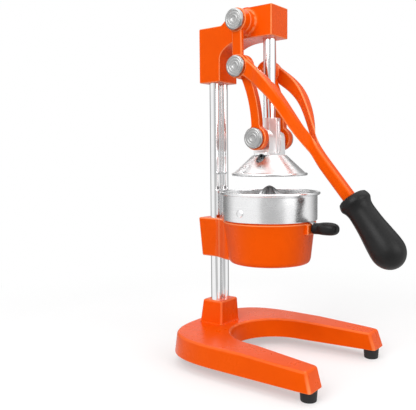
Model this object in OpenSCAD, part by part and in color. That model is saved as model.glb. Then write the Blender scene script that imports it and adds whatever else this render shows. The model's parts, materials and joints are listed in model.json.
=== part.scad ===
// Twin column lever press for citrus fruit. Millimetres, +Z up, +X to the front.
// The origin is on the table, under the middle of the whole press.

/* [Base] */
// half width of the base at its lower edge
base_half_w = 94; // [90:1:98]
// how far the base reaches behind the plunger axis
base_rear = 103; // [101:1:106]
// how far the base reaches in front of the plunger axis
base_front = 103.6; // [101:0.2:106]
// height of the underside of the base above the table
foot_h = 12.4; // [11:0.2:14]
// height of the base casting at the rear
base_h_rear = 23.8; // [22.6:0.2:25.6]
// height of the base casting at its front ends
base_h_front = 20.4; // [19:0.2:21.6]
// draft of the outer sides of the base
base_draft = 3; // [2:0.5:4]
// radius of the rounded end of the opening for the cup
cup_bay_r = 55; // [52:1:56]
// half width of the opening for the cup at the front
cup_bay_front = 66.4; // [65:0.2:68]
// height of the column socket above the base
socket_h = 28.6; // [26:0.2:32]
// radius of a foot at the base
foot_r = 9; // [8:0.5:10]

/* [Columns] */
// distance from the plunger axis back to the columns
column_x = 72.5; // [72:0.5:74]
// distance of each column from the middle plane
column_y = 8.1; // [7.8:0.1:9]
// radius of a column
column_r = 6.3; // [6:0.1:6.5]
// depth of the socket below the top of the base
socket_deep = 10.2; // [9:0.2:11]

/* [Head] */
// half width of the head
head_half_w = 18; // [17.5:0.5:19]
// height of the top of the head above the top pivot
head_above = 16.6; // [16.2:0.2:18]
// depth of the underside of the nose below the top pivot
head_below = 17.6; // [17.2:0.2:18.6]
// how far the nose reaches in front of the plunger axis
head_front = 13.6; // [13:0.2:15]
// how far the rear block hangs below the nose
block_drop = 45.3; // [43:0.1:47]
// radius of the root of the round pivot boss on each side of the head
boss_r = 15.6; // [15:0.1:15.8]
// radius of the hub at the end of that boss
hub_r = 13; // [12.6:0.1:13.1]
// how far out the pivot boss reaches from the middle plane
boss_y = 27.1; // [26.5:0.1:27.1]

/* [Bowl] */
// height of the underside of the bowl
bowl_low = 118.5; // [117:0.5:120]
// height of the bowl
bowl_h = 48.5; // [46:0.5:50]
// radius of the bowl at its rim
bowl_r_top = 54; // [53:0.2:55]
// radius of the bowl at its underside
bowl_r_low = 47.2; // [46:0.2:48]
// thickness of the wall of the bowl
bowl_wall = 3; // [2.5:0.5:3.5]
// radius of the juice outlet
outlet_r = 7.5; // [6:0.5:9]
// half width of the clamp block round the columns
clamp_half_w = 17.5; // [16.5:0.5:18]

/* [Strainer] */
// height of the wall of the ring
ring_h = 30.9; // [29:0.1:32]
// radius of the rolled edge
rim_r = 1.8; // [1.5:0.1:2]
// thickness of the steel sheet
sheet_t = 1; // [0.8:0.1:1.2]
// depth of the basket below the ring
basket_deep = 10.4; // [9:0.2:12]
// radius of the foot of the reamer
reamer_r = 34; // [32:1:35]
// height of the reamer above the basket
reamer_h = 48.8; // [45:0.2:50]
// number of ribs on the reamer
reamer_ribs = 10; // [8:1:12]
// number of holes in each row of the basket
hole_count = 30; // [24:2:32]
// radius of a hole in the basket
hole_r = 1.7; // [1.4:0.1:1.9]
// length of the front grip
tab_len = 30; // [26:1:30]
// half width of the front grip
tab_half_w = 9; // [8.5:0.5:10]

/* [Plunger] */
// radius of the plunger rod
rod_r = 6.95; // [6.8:0.05:7]
// height of the rim of the press cone above the rim of the ring
cone_gap = 21.7; // [21:0.1:23]
// height of the press cone above its rim
cone_h = 21.9; // [21:0.1:22.5]
// radius of the rim of the press cone
cone_rim_r = 42.2; // [41:0.2:44]
// radius of the flat top of the press cone
cone_top_r = 19.5; // [19:0.5:21]
// thickness of the wall of the press cone
cone_t = 2.4; // [2:0.2:2.6]
// height of the lower pivot above the foot of the yoke
lug_h = 19; // [18.6:0.1:20]
// height of the rod's lower end above the foot of the yoke
rod_seat = 26.6; // [26:0.2:28]
// height of the yoke collar round the rod
collar_h = 15.5; // [14:0.5:17]

/* [Linkage] */
// distance from the plunger axis back to the top pivot
top_x = 20.2; // [20:0.1:20.4]
// distance from the top pivot to the middle pivot
crank_len = 50.9; // [50.8:0.1:51]
// lean of the short upright arms at rest, from straight down
crank_lean = 1.1; // [1:0.1:1.2]
// length of each curved link between its eyes
link_len = 82.4; // [82.3:0.1:82.5]
// radius of the curve of each link
link_curve_r = 144; // [140:2:150]
// width of each link
link_w = 11.2; // [10.5:0.1:11.5]
// thickness of each link
link_t = 8.5; // [8:0.1:8.6]
// distance of the inner face of each link from the middle plane
link_y = 22; // [21.9:0.1:22]
// radius of the eyes of the links
link_eye_r = 13.6; // [13:0.1:14]

/* [Handle] */
// radius of the eyes of the handle
eye_r = 13.1; // [12.8:0.1:13.4]
// distance of the outer face of the eyes from the middle plane
eye_y1 = 38.2; // [38:0.1:38.3]
// thickness of the short upright arms and the start of the fork
arm_t = 6.5; // [6:0.1:6.8]
// half width of the bar
bar_half_w = 6; // [5.6:0.1:7]
// depth of the bar, seen from the side
bar_deep = 13; // [13:0.1:14.4]
// slope of the bar below level
bar_slope = 50.7; // [50:0.1:51.4]
// width of the short upright arms
upright_w = 13; // [12:0.5:14]
// how far the grip starts in front of the middle pivot
grip_reach = 120.9; // [120:0.1:122]
// how far the grip starts below the middle pivot
grip_drop = 144.4; // [143.6:0.1:145]
// slope of the grip below level
grip_slope = 53.2; // [52.6:0.1:54]
// length of the grip
grip_len = 87.3; // [85:0.1:90]
// largest radius of the body of the grip
grip_r = 18.4; // [17.5:0.1:19]
// radius of the collar of the grip
collar_r = 17.3; // [16.8:0.1:18]
// radius of the neck of the grip
neck_r = 14.3; // [14:0.1:15]

/* [Pins and caps] */
// radius of the top pin
pin_r = 6; // [5.5:0.1:6.2]
// radius of the lower pin and the middle pins
small_pin_r = 5; // [4.6:0.1:5.2]
// radius of the round caps
cap_r = 11.7; // [11.4:0.1:12]
// thickness of the round caps
cap_t = 5.3; // [5:0.1:5.6]

/* [Fits] */
// radial clearance of pins, rods and screws in their bores
fit_gap = 0.05; // [0.03:0.01:0.08]
// clearance between faces that move past each other
face_gap = 0.4; // [0.3:0.05:0.45]

/* [Hidden] */
$fn = 96;
orange = [0.91, 0.29, 0.05];
bright = [0.86, 0.87, 0.88];
satin = [0.74, 0.75, 0.76];
black = [0.05, 0.05, 0.055];
dark_steel = [0.35, 0.35, 0.37];
// heights, each from what stands below it
base_top_rear = foot_h + base_h_rear;
base_top_front = foot_h + base_h_front;
socket_top = base_top_rear + socket_h;
column_z0 = base_top_rear - socket_deep;
bowl_top = bowl_low + bowl_h;
ring_gap = 1.4;
ring_r = bowl_r_top + 1.2;
ring_z0 = bowl_top + ring_gap;
ring_z1 = ring_z0 + ring_h;
rivet_z = ring_z0 + ring_h / 3;
basket_floor = ring_z0 - basket_deep;
reamer_foot = basket_floor + 1.2;
reamer_tip = reamer_foot + reamer_h;
cone_rim_z = ring_z1 + cone_gap;
yoke_foot_z = cone_rim_z + cone_h;
rod_low = yoke_foot_z + rod_seat;
collar_top = rod_low + collar_h;
low_z = yoke_foot_z + lug_h;
mid_x = crank_len * sin(crank_lean) - top_x;
mid_z = low_z + sqrt(link_len * link_len - mid_x * mid_x);
top_z = mid_z + crank_len * cos(crank_lean);
head_under = top_z - head_below;
head_top = top_z + head_above;
head_low = head_under - block_drop;
column_z1 = head_low + 58;
rod_top = head_top - 5.5;
// the bowl's inner radius at a height, between its floor and its rim
bowl_floor = bowl_low + 4;
function bowl_in(z) = let (u = (z - bowl_floor - 7) / (bowl_h - 11))
  (1 - u) * (bowl_r_low - 3.6) + u * (bowl_r_top - bowl_wall - 0.6);
basket_r = bowl_in(basket_floor) - 0.9;
tab_x = bowl_r_top + 2.9;
tab_z = ring_z0 - 7.2;
// the grip
grip_x = mid_x + grip_reach;
grip_z = mid_z - grip_drop;
grip_end_s = grip_len - grip_r * 0.9 - 4;
grip_end_len = grip_len - grip_end_s;
press_front = grip_x + grip_end_s * cos(grip_slope)
  + sqrt(pow(grip_r * sin(grip_slope), 2) + pow(grip_end_len * cos(grip_slope), 2));
press_mid = (press_front - base_rear) / 2;
// places along Y
cap_top_y = eye_y1 + 0.1;
link_outer_y = link_y + link_t;
eye_y0 = link_outer_y + face_gap + 0.1;
arm_y0 = eye_y1 - arm_t;
lug_y0 = 8;
lug_y1 = 17.5;
rivet_r = 2;
rivet_turn = 4.2;
steps = 24;

// Puts a piece drawn round the plunger axis into the frame of the whole press.
module set_in() {
  translate([-press_mid, 0, 0])
    children();
}

module both_sides() {
  for (s = [-1, 1])
    scale([1, s, 1])
      children();
}

// A round bar along Y from y0 to y1.
module bar_y(x, z, r, y0, y1) {
  translate([x, y0, z])
    rotate([-90, 0, 0])
      cylinder(r = r, h = y1 - y0);
}

module profile_y(y0, y1) {
  translate([0, y1, 0])
    rotate([90, 0, 0])
      linear_extrude(height = y1 - y0)
        children();
}

module profile_x(x0, x1) {
  translate([x0, 0, 0])
    rotate([90, 0, 90])
      linear_extrude(height = x1 - x0)
        children();
}

module capsule_box(x0, x1, y, z0, z1) {
  translate([x0, -y, z0])
    cube([x1 - x0, 2 * y, z1 - z0]);
}

// The rounded outline of the rear half of the base.
function rear_outline(a, b, k) = [for (i = [0 : steps]) let (t = 90 + 180 * i / steps)
  [-a * pow(abs(cos(t)), k), b * sign(sin(t)) * pow(abs(sin(t)), k)]];

module base_slice(a, b, front, side, z) {
  translate([0, 0, z])
    linear_extrude(height = 0.02)
      polygon(concat(rear_outline(a, b, 0.63), [[front - 14, -b], [front, -side], [front, side], [front - 14, b]]));
}

module base_outer() {
  hull() {
    base_slice(base_rear, base_half_w, base_front, base_half_w - 1, foot_h);
    base_slice(base_rear - base_draft, base_half_w - base_draft, 20, base_half_w - base_draft, base_top_rear - 0.02);
    translate([base_front - 6.2, 1 - base_half_w + base_draft, base_top_front - 0.02])
      cube([0.1, 2 * (base_half_w - 1 - base_draft), 0.02]);
  }
}

module socket_block() {
  hull() {
    capsule_box(-column_x - 18.5, 15.7 - column_x, column_y + 11.4, base_top_rear - 6, base_top_rear - 5.9);
    capsule_box(-column_x - 14.1, 14.7 - column_x, column_y + 8.9, socket_top - 0.1, socket_top);
  }
}

module cup_bay() {
  translate([0, 0, foot_h - 1])
    linear_extrude(height = base_top_rear)
      union() {
        translate([11, 0])
          circle(r = cup_bay_r);
        polygon([[11, -cup_bay_r], [base_front + 1, -cup_bay_front], [base_front + 1, cup_bay_front], [11, cup_bay_r]]);
      }
}

module at_columns() {
  for (s = [-1, 1])
    translate([-column_x, s * column_y, 0])
      children();
}

// The four places of the feet.
module at_feet() {
  for (s = [-1, 1]) {
    translate([base_front - 9.7, s * ((base_half_w + cup_bay_front) / 2 - 1.7), 0])
      children();
    translate([27 - base_rear, s * (base_half_w - 40), 0])
      children();
  }
}

module base_casting() {
  color(orange)
    set_in()
      difference() {
        union() {
          base_outer();
          socket_block();
        }
        cup_bay();
        at_columns()
          translate([0, 0, column_z0])
            cylinder(r = column_r + fit_gap, h = socket_top);
        at_columns()
          translate([0, 0, foot_h - 1])
            cylinder(r = 3 + fit_gap, h = 20);
        at_columns()
          translate([0, 0, foot_h - 1])
            cylinder(r = 5.6, h = 7.6);
        at_feet()
          translate([0, 0, foot_h - 1])
            cylinder(r = 2.5 + fit_gap, h = 13);
      }
}

module feet() {
  color(black)
    set_in()
      at_feet()
        difference() {
          cylinder(r1 = foot_r - 0.8, r2 = foot_r, h = foot_h);
          translate([0, 0, -1])
            cylinder(r = 2.5 + fit_gap, h = foot_h + 2);
          translate([0, 0, -1])
            cylinder(r = 4.6, h = 5);
        }
}

module foot_screws() {
  color(dark_steel)
    set_in()
      at_feet()
        difference() {
          union() {
            translate([0, 0, 1.5])
              cylinder(r = 4.4, h = 2.5);
            translate([0, 0, 4])
              cylinder(r = 2.5, h = 19);
          }
          translate([0, 0, 0.5])
            cylinder(r = 1.7, h = 2.2, $fn = 6);
        }
}

module column(s) {
  color(bright)
    set_in()
      translate([-column_x, s * column_y, column_z0])
        difference() {
          union() {
            cylinder(r = column_r, h = column_z1 - column_z0 - 1);
            translate([0, 0, column_z1 - column_z0 - 1])
              cylinder(r1 = column_r, r2 = column_r - 1, h = 1);
          }
          translate([0, 0, -1])
            cylinder(r = 3 + fit_gap, h = 20);
        }
}

module column_left() {
  column(1);
}

module column_right() {
  column(-1);
}

module column_bolts() {
  color(dark_steel)
    set_in()
      at_columns()
        difference() {
          union() {
            translate([0, 0, foot_h + 1.2])
              cylinder(r = 5.2, h = 5.4);
            translate([0, 0, foot_h + 6.6])
              cylinder(r = 3, h = 24);
          }
          translate([0, 0, foot_h])
            cylinder(r = 2.6, h = 4.4, $fn = 6);
        }
}

// The side outline of the head, with the arch between the rear block and the nose.
module head_outline() {
  block_x0 = -column_x - 15.5;
  block_x1 = 14.5 - column_x;
  arch_x = -top_x - 0.8;
  arch_a = arch_x - block_x1;
  arch_b = 20;
  polygon(concat(
    [[block_x0, head_low], [block_x1, head_low]],
    [for (i = [0 : steps]) let (t = 180 - 90 * i / steps) [arch_x + arch_a * cos(t), head_under - arch_b + arch_b * sin(t)]],
    [[head_front, head_under], [head_front, head_top], [block_x1 + 20.5, head_top],
     [block_x1 + 2.5, head_top - 15], [block_x0, head_top - 15]]));
}

module head_casting() {
  color(orange)
    set_in()
      difference() {
        union() {
          profile_y(-head_half_w, head_half_w)
            head_outline();
          bar_y(-top_x, top_z, hub_r, -boss_y, boss_y);
          both_sides()
            translate([-top_x, head_half_w - 1, top_z])
              rotate([-90, 0, 0])
                cylinder(r1 = boss_r + 0.8, r2 = hub_r, h = 4.4);
        }
        at_columns()
          translate([0, 0, head_low - 1])
            cylinder(r = column_r + fit_gap, h = column_z1 - head_low + 1.5);
        translate([0, 0, head_under - 1])
          cylinder(r = rod_r + fit_gap, h = head_top - head_under + 2);
        bar_y(-top_x, top_z, pin_r + fit_gap, -boss_y - 1, boss_y + 1);
        for (s = [-1, 1])
          translate([-column_x - 16.5, s * column_y, head_low + 22])
            rotate([0, 90, 0])
              cylinder(r = 3 + fit_gap, h = 12);
      }
}

module grub_screw(x, y, z, len) {
  translate([x, y, z])
    rotate([0, 90, 0])
      difference() {
        cylinder(r = 3, h = len);
        translate([0, 0, -1])
          cylinder(r = 1.6, h = 3.5, $fn = 6);
      }
}

module head_set_screws() {
  color(dark_steel)
    set_in()
      for (s = [-1, 1])
        grub_screw(-column_x - 14.7, s * column_y, head_low + 22, 14.7 - column_r - fit_gap);
}

module clamp_block() {
  hull() {
    capsule_box(-column_x - 19.7, 6.5 - column_x, clamp_half_w, bowl_top - 0.1, bowl_top);
    capsule_box(-column_x - 15.1, 10.5 - column_x, clamp_half_w - 0.8, bowl_low + 1.3, bowl_low + 1.4);
  }
}

// The flare from the clamp block to the side of the bowl.
module clamp_neck() {
  x0 = 2.5 - column_x;
  x1 = 10.5 - column_x;
  x2 = 18.5 - column_x;
  x3 = 2.2 - bowl_r_low;
  translate([0, 0, bowl_low + 1.3])
    linear_extrude(height = bowl_h - 1.3)
      polygon([[x0, 1 - clamp_half_w], [x1, -clamp_half_w - 1], [x2, -23], [x3, -27], [x3 + 15, -27],
               [x3 + 15, 27], [x3, 27], [x2, 23], [x1, clamp_half_w + 1], [x0, clamp_half_w - 1]]);
}

module bowl_casting() {
  color(orange)
    set_in()
      difference() {
        union() {
          rotate_extrude()
            polygon([[0, bowl_low], [bowl_r_low - 3.6, bowl_low], [bowl_r_low - 1, bowl_low + 0.9],
                     [bowl_r_low, bowl_low + 3], [bowl_r_top - 2.8, bowl_low + 35.5], [bowl_r_top, bowl_top],
                     [bowl_r_top - 0.4, bowl_top], [bowl_r_top - 0.4, ring_z0], [0, ring_z0]]);
          clamp_block();
          clamp_neck();
          capsule_box(bowl_r_top - 14, bowl_r_top + 1.6, 9.5, tab_z - 7, tab_z + 4.8);
        }
        rotate_extrude()
          polygon([[0, bowl_floor - 0.5], [outlet_r, bowl_floor - 0.5], [bowl_r_low - 6, bowl_floor + 4],
                   [bowl_in(bowl_floor + 7), bowl_floor + 7], [bowl_in(bowl_top), bowl_top],
                   [bowl_in(bowl_top), ring_z0 + 1], [0, ring_z0 + 1]]);
        translate([0, 0, bowl_low - 1])
          cylinder(r = outlet_r, h = 10);
        at_columns()
          translate([0, 0, bowl_low - 1])
            cylinder(r = column_r + fit_gap, h = bowl_h + ring_gap + 2);
        for (s = [-1, 1])
          translate([-column_x - 20.5, s * column_y, bowl_low + bowl_h / 2])
            rotate([0, 90, 0])
              cylinder(r = 3 + fit_gap, h = 16);
      }
}

module bowl_set_screws() {
  color(dark_steel)
    set_in()
      for (s = [-1, 1])
        grub_screw(-column_x - 16.1, s * column_y, bowl_low + bowl_h / 2, 16.1 - column_r - fit_gap);
}

module strainer_ring() {
  color(bright)
    set_in()
      difference() {
        rotate_extrude()
          union() {
            translate([ring_r - sheet_t, ring_z0])
              square([sheet_t, ring_z1 - ring_z0]);
            translate([ring_r - 3.4, ring_z0])
              square([3.4, sheet_t]);
            translate([ring_r + 1.5, ring_z1])
              circle(r = rim_r, $fn = 32);
          }
        both_sides()
          rotate([0, 0, rivet_turn])
            bar_y(0, rivet_z, rivet_r + fit_gap, ring_r - 3, ring_r + 2);
      }
}

module strainer_basket() {
  color(satin)
    set_in()
      difference() {
        union() {
          rotate_extrude()
            union() {
              translate([0, basket_floor])
                square([basket_r, 1.2]);
              translate([basket_r - 1, basket_floor])
                square([1, ring_z0 + 2 * sheet_t - basket_floor]);
              translate([basket_r - 1, ring_z0 + sheet_t])
                square([ring_r - sheet_t - fit_gap - basket_r + 1, sheet_t]);
            }
        }
        for (row = [0 : 1])
          for (i = [0 : hole_count - 1])
            rotate([0, 0, (i + row / 2) * 360 / hole_count])
              translate([basket_r - 9.5 + row * 5.5, 0, basket_floor - 1])
                cylinder(r = hole_r, h = 4, $fn = 16);
      }
}

module dome(r, top) {
  rotate_extrude()
    polygon(concat([[0, reamer_foot]],
      [for (i = [0 : 12]) let (u = i / 12) [r * pow(1 - u, 0.62), reamer_foot + (top - reamer_foot) * u]]));
}

module reamer_cone() {
  color(satin)
    set_in()
      union() {
        dome(reamer_r - 3, reamer_tip - 3);
        intersection() {
          dome(reamer_r, reamer_tip);
          for (i = [0 : reamer_ribs - 1])
            rotate([0, 0, i * 360 / reamer_ribs])
              translate([0, -1.4, basket_floor])
                cube([reamer_r + 1, 2.8, reamer_h + 5]);
        }
      }
}

// A domed rivet through the wall of the ring, with its small inner head.
module ring_rivets() {
  color(bright)
    set_in()
      both_sides()
        rotate([0, 0, rivet_turn])
          translate([0, ring_r - sheet_t - 1.3, rivet_z])
            rotate([-90, 0, 0])
              rotate_extrude()
                polygon([[0, 0], [rivet_r + 1.4, 0], [rivet_r + 1.4, 1.1], [rivet_r, 1.1], [rivet_r, sheet_t + 1.35],
                         [4.2, sheet_t + 1.35], [4, sheet_t + 1.9], [3.2, sheet_t + 2.5], [1.8, sheet_t + 2.9],
                         [0, sheet_t + 3]]);
}

module strainer_tab() {
  color(satin)
    set_in()
      difference() {
        capsule_box(ring_r - 1.5, tab_x + tab_len - 6, 7, ring_z0 - 1.2, ring_z0);
        cylinder(r = bowl_r_top - 0.3, h = ring_z1);
      }
}

module tab_grip() {
  x0 = tab_x;
  x1 = tab_x + tab_len;
  color(black)
    set_in()
      difference() {
        union() {
          translate([x0, 0, tab_z])
            rotate([0, 90, 0])
              cylinder(r1 = 6.3, r2 = 6.8, h = 12);
          capsule_box(x0 + 1, x1 - 8, tab_half_w - 2, tab_z - 5.6, tab_z + 6.9);
          intersection() {
            capsule_box(x0 + 9, x1, tab_half_w, tab_z - 6.4, tab_z + 7.7);
            profile_y(-20, 20)
              polygon([[x0 + 9, tab_z - 5.4], [x0 + 11, tab_z - 6.4], [x1 - 5, tab_z - 6.4], [x1, tab_z - 2],
                       [x1, tab_z + 3.8], [x1 - 4, tab_z + 7.7], [x0 + 11, tab_z + 7.7], [x0 + 9, tab_z + 6.5]]);
            translate([0, 0, tab_z - 12])
              linear_extrude(height = 30)
                polygon([[x0 + 9, 3 - tab_half_w], [x0 + 12, -tab_half_w], [x1 - 6, -tab_half_w],
                         [x1, 6 - tab_half_w], [x1, tab_half_w - 6], [x1 - 6, tab_half_w],
                         [x0 + 12, tab_half_w], [x0 + 9, tab_half_w - 3]]);
          }
        }
        capsule_box(x0 - 1, x1 - 6 + fit_gap, 7 + fit_gap, ring_z0 - 1.2 - fit_gap, ring_z0 + fit_gap);
      }
}

module plunger_rod() {
  color(bright)
    set_in()
      union() {
        translate([0, 0, rod_low])
          cylinder(r = rod_r, h = rod_top - rod_low - 1);
        translate([0, 0, rod_top - 1])
          cylinder(r1 = rod_r, r2 = rod_r - 1, h = 1);
      }
}

module yoke_casting() {
  foot_t = 4;
  lug_r = 10.6;
  color(satin)
    set_in()
      difference() {
        union() {
          translate([1.6, 0, yoke_foot_z])
            rotate([0, 0, 22.5])
              cylinder(r = 11.2, h = collar_top - yoke_foot_z, $fn = 8);
          capsule_box(0, 13.6, 1.6, yoke_foot_z, collar_top - 4);
          capsule_box(-11, 11, 17, yoke_foot_z, yoke_foot_z + foot_t);
          capsule_box(-8, 8, 20.5, yoke_foot_z, yoke_foot_z + foot_t);
          intersection() {
            union() {
              bar_y(0, low_z, lug_r, -lug_y1, lug_y1);
              capsule_box(-lug_r, lug_r, lug_y1, yoke_foot_z, low_z);
            }
            union() {
              capsule_box(-20, 3, lug_y1, yoke_foot_z, low_z + 20);
              both_sides()
                translate([-20, lug_y0, yoke_foot_z])
                  cube([40, lug_y1 - lug_y0, 40]);
            }
            profile_x(-20, 20)
              polygon([[-lug_y1, yoke_foot_z], [lug_y1, yoke_foot_z], [lug_y1, low_z + 5], [lug_y0, low_z + 14],
                       [-lug_y0, low_z + 14], [-lug_y1, low_z + 5]]);
          }
          bar_y(0, low_z, 9, -link_y + face_gap, link_y - face_gap);
        }
        bar_y(0, low_z, small_pin_r + fit_gap, -30, 30);
        translate([0, 0, rod_low])
          cylinder(r = rod_r + fit_gap, h = 40);
        translate([-12, 0, collar_top - 5])
          rotate([0, 90, 0])
            cylinder(r = 2.5 + fit_gap, h = 12);
        press_screw_places()
          cylinder(r = 2 + fit_gap, h = 9);
      }
}

module yoke_set_screw() {
  color(dark_steel)
    set_in()
      translate([-rod_r - 2.4, 0, collar_top - 5])
        rotate([0, 90, 0])
          difference() {
            cylinder(r = 2.5, h = 2.35);
            translate([0, 0, -1])
              cylinder(r = 1.3, h = 2.2, $fn = 6);
          }
}

module press_screw_places() {
  for (s = [-1, 1])
    translate([0, s * 13, yoke_foot_z - 2])
      children();
}

module press_cone() {
  top_z = yoke_foot_z;
  top_under = yoke_foot_z - cone_t;
  slope_low = cone_rim_z + 3;
  color(bright)
    set_in()
      difference() {
        rotate_extrude()
          union() {
            polygon([[0, top_under], [cone_top_r - 2, top_under], [cone_rim_r - 5.4, slope_low - 3],
                     [cone_rim_r, cone_rim_z - 1.5], [cone_rim_r, cone_rim_z + 1.5], [cone_rim_r - 2.6, slope_low],
                     [cone_top_r + 0.3, top_z - 0.8], [cone_top_r - 0.5, top_z], [0, top_z]]);
            translate([cone_rim_r, cone_rim_z])
              circle(r = 1.7, $fn = 32);
          }
        both_sides()
          bar_y(0, top_under - 3.4, 5.2, 12, 40);
        translate([0, 0, -2])
          press_screw_places()
            cylinder(r = 2 + fit_gap, h = 9);
      }
}

module press_cone_screws() {
  color(dark_steel)
    set_in()
      press_screw_places()
        difference() {
          union() {
            translate([0, 0, 1.9 - cone_t])
              cylinder(r = 2, h = cone_t + 6.5);
            translate([0, 0, -cone_t - 0.2])
              cylinder(r = 3.5, h = 2.2);
          }
          translate([0, 0, -cone_t - 1.2])
            cylinder(r = 1.3, h = 2.2, $fn = 6);
        }
}

// A round cap with a bevelled edge and plain concentric rings, seated at y0.
module cap(x, z, y0) {
  translate([x, y0, z])
    rotate([-90, 0, 0])
      rotate_extrude()
        polygon([[0, 0], [cap_r - 0.6, 0], [cap_r, 0.6], [cap_r, cap_t - 1.4], [cap_r - 1.4, cap_t],
                 [cap_r - 2.4, cap_t], [cap_r - 2.6, cap_t - 0.5], [5.6, cap_t - 0.5], [5.2, cap_t - 0.1],
                 [4.2, cap_t - 0.1], [3.9, cap_t - 0.6], [1.6, cap_t - 0.6], [1.2, cap_t - 1.4], [0, cap_t - 1.4]]);
}

module lower_pin() {
  color(satin)
    set_in()
      bar_y(0, low_z, small_pin_r, -link_outer_y - face_gap - 0.1, link_outer_y + face_gap + 0.1);
}

module lower_caps() {
  color(bright)
    set_in()
      both_sides()
        cap(0, low_z, link_outer_y + face_gap + 0.1);
}

// One curved link in side view, from the middle pivot down to the lower pivot.
module link_outline() {
  half = asin(link_len / 2 / link_curve_r);
  tilt = atan2(-mid_x, mid_z - low_z);
  difference() {
    union() {
      translate([mid_x / 2, (mid_z + low_z) / 2])
        rotate(tilt)
          translate([-link_curve_r * cos(half), 0])
            intersection() {
              difference() {
                circle(r = link_curve_r + link_w / 2, $fn = 360);
                circle(r = link_curve_r - link_w / 2, $fn = 360);
              }
              polygon([[0, 0], 2 * link_curve_r * [cos(half), -sin(half)], 2 * link_curve_r * [cos(half), sin(half)]]);
            }
      translate([mid_x, mid_z])
        circle(r = link_eye_r);
      translate([0, low_z])
        circle(r = link_eye_r);
    }
    translate([mid_x, mid_z])
      circle(r = small_pin_r + fit_gap);
    translate([0, low_z])
      circle(r = small_pin_r + fit_gap);
  }
}

module link() {
  profile_y(link_y, link_outer_y)
    link_outline();
}

module link_left() {
  color(orange)
    set_in()
      link();
}

module link_right() {
  color(orange)
    set_in()
      scale([1, -1, 1])
        link();
}

// A point of a curve that leaves a towards b and arrives at d from c.
function curve_at(a, b, c, d, t) =
  pow(1 - t, 3) * a + 3 * pow(1 - t, 2) * t * b + 3 * (1 - t) * t * t * c + pow(t, 3) * d;

function curve(a, b, c, d) = [for (i = [0 : steps]) curve_at(a, b, c, d, i / steps)];

function backwards(p) = [for (i = [len(p) - 1 : -1 : 0]) p[i]];

// The handle in side view: the fork sweeps forward and down into the bar.
// Its points are measured from the middle pivot.
module handle_side() {
  up = [sin(bar_slope), cos(bar_slope)] * bar_deep / 2;
  along = [cos(bar_slope), -sin(bar_slope)];
  bar_end = [grip_reach - 4.2, -grip_drop + 1.7];
  bar_top = bar_end + up - 63 * along;
  bar_under = bar_end - up - 52.6 * along;
  translate([mid_x, mid_z])
    polygon(concat(
      [[-2, 0], [11.2, 7]],
      curve([11.2, 7], [50.8, -22.3], [48.2, -28.9], bar_top),
      [bar_end + up + 3 * along, bar_end - up + 3 * along],
      backwards(curve([7.2, -11], [48.9, -40.4], [44.6, -38.8], bar_under))));
}

// The handle from above: two arms that close into one bar.
module handle_plan() {
  outer = curve([0, eye_y1], [30.5, 49.7], [45, 28.8], [55.4, bar_half_w]);
  inner = curve([0, arm_y0], [13.6, 35.4], [53.2, 10.6], [60.5, 0]);
  translate([0, 0, grip_z - 50])
    linear_extrude(height = 220)
      union() {
        for (s = [-1, 1])
          scale([1, s])
            polygon(concat([[-40, arm_y0], [-40, eye_y1]], outer, [[62, bar_half_w], [62, 0]],
                           backwards(inner)));
        translate([58, -bar_half_w])
          square([60, 2 * bar_half_w]);
      }
}

module handle_casting() {
  color(orange)
    set_in()
      difference() {
        union() {
          intersection() {
            profile_y(-60, 60)
              handle_side();
            handle_plan();
          }
          both_sides() {
            bar_y(-top_x, top_z, eye_r, boss_y + face_gap, eye_y1);
            bar_y(mid_x, mid_z, eye_r, eye_y0, eye_y1);
            translate([-top_x, arm_y0, top_z])
              rotate([0, 180 - crank_lean, 0])
                translate([-upright_w / 2, 0, 0])
                  cube([upright_w, arm_t - 0.7, crank_len]);
          }
          translate([grip_x, 0, grip_z])
            rotate([0, 90 + grip_slope, 0])
              translate([0, 0, -2])
                cylinder(r = 5.5, h = 50);
        }
        both_sides() {
          bar_y(-top_x, top_z, pin_r + fit_gap, boss_y, eye_y1 + 1);
          bar_y(mid_x, mid_z, small_pin_r + fit_gap, eye_y0 - 1, eye_y1 + 1);
        }
      }
}

module handle_grip() {
  color(black)
    set_in()
      translate([grip_x, 0, grip_z])
        rotate([0, 90 + grip_slope, 0])
          difference() {
            rotate_extrude()
              polygon(concat(
                [[0, 0.1], [13, 0.1], [collar_r - 1.6, 2], [collar_r - 0.6, 4.5], [collar_r, 7], [collar_r - 0.1, 9],
                 [collar_r - 1.1, 11], [neck_r + 0.7, 13.5], [neck_r, 18], [neck_r + 0.3, 27], [neck_r + 1.1, 38],
                 [neck_r + 2.6, 50], [grip_r - 0.2, 62]],
                [for (i = [0 : 12]) let (t = 90 * i / 12) [grip_r * cos(t), grip_end_s + grip_end_len * sin(t)]]));
            translate([0, 0, -1])
              cylinder(r = 5.5 + fit_gap, h = 49.2 + fit_gap);
          }
}

module top_pin() {
  color(satin)
    set_in()
      bar_y(-top_x, top_z, pin_r, -cap_top_y, cap_top_y);
}

module top_caps() {
  color(bright)
    set_in()
      both_sides()
        cap(-top_x, top_z, cap_top_y);
}

module middle_pins() {
  color(satin)
    set_in()
      both_sides()
        bar_y(mid_x, mid_z, small_pin_r, eye_y0, cap_top_y);
}

module middle_caps() {
  color(bright)
    set_in()
      both_sides()
        cap(mid_x, mid_z, cap_top_y);
}

base_casting();
feet();
foot_screws();
column_left();
column_right();
column_bolts();
head_casting();
head_set_screws();
bowl_casting();
bowl_set_screws();
strainer_ring();
strainer_basket();
reamer_cone();
ring_rivets();
strainer_tab();
tab_grip();
plunger_rod();
yoke_casting();
yoke_set_screw();
press_cone();
press_cone_screws();
lower_pin();
lower_caps();
link_left();
link_right();
handle_casting();
handle_grip();
top_pin();
top_caps();
middle_pins();
middle_caps();
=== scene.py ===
"""Twin column lemon squeezer with a long lever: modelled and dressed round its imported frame.

Sizes are in millimetres round the plunger axis, as in the part's source, and at() turns them into
metres in the frame. Each sub-assembly is a class that builds its pieces and gives them their finish.
"""
from __future__ import annotations

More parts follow.
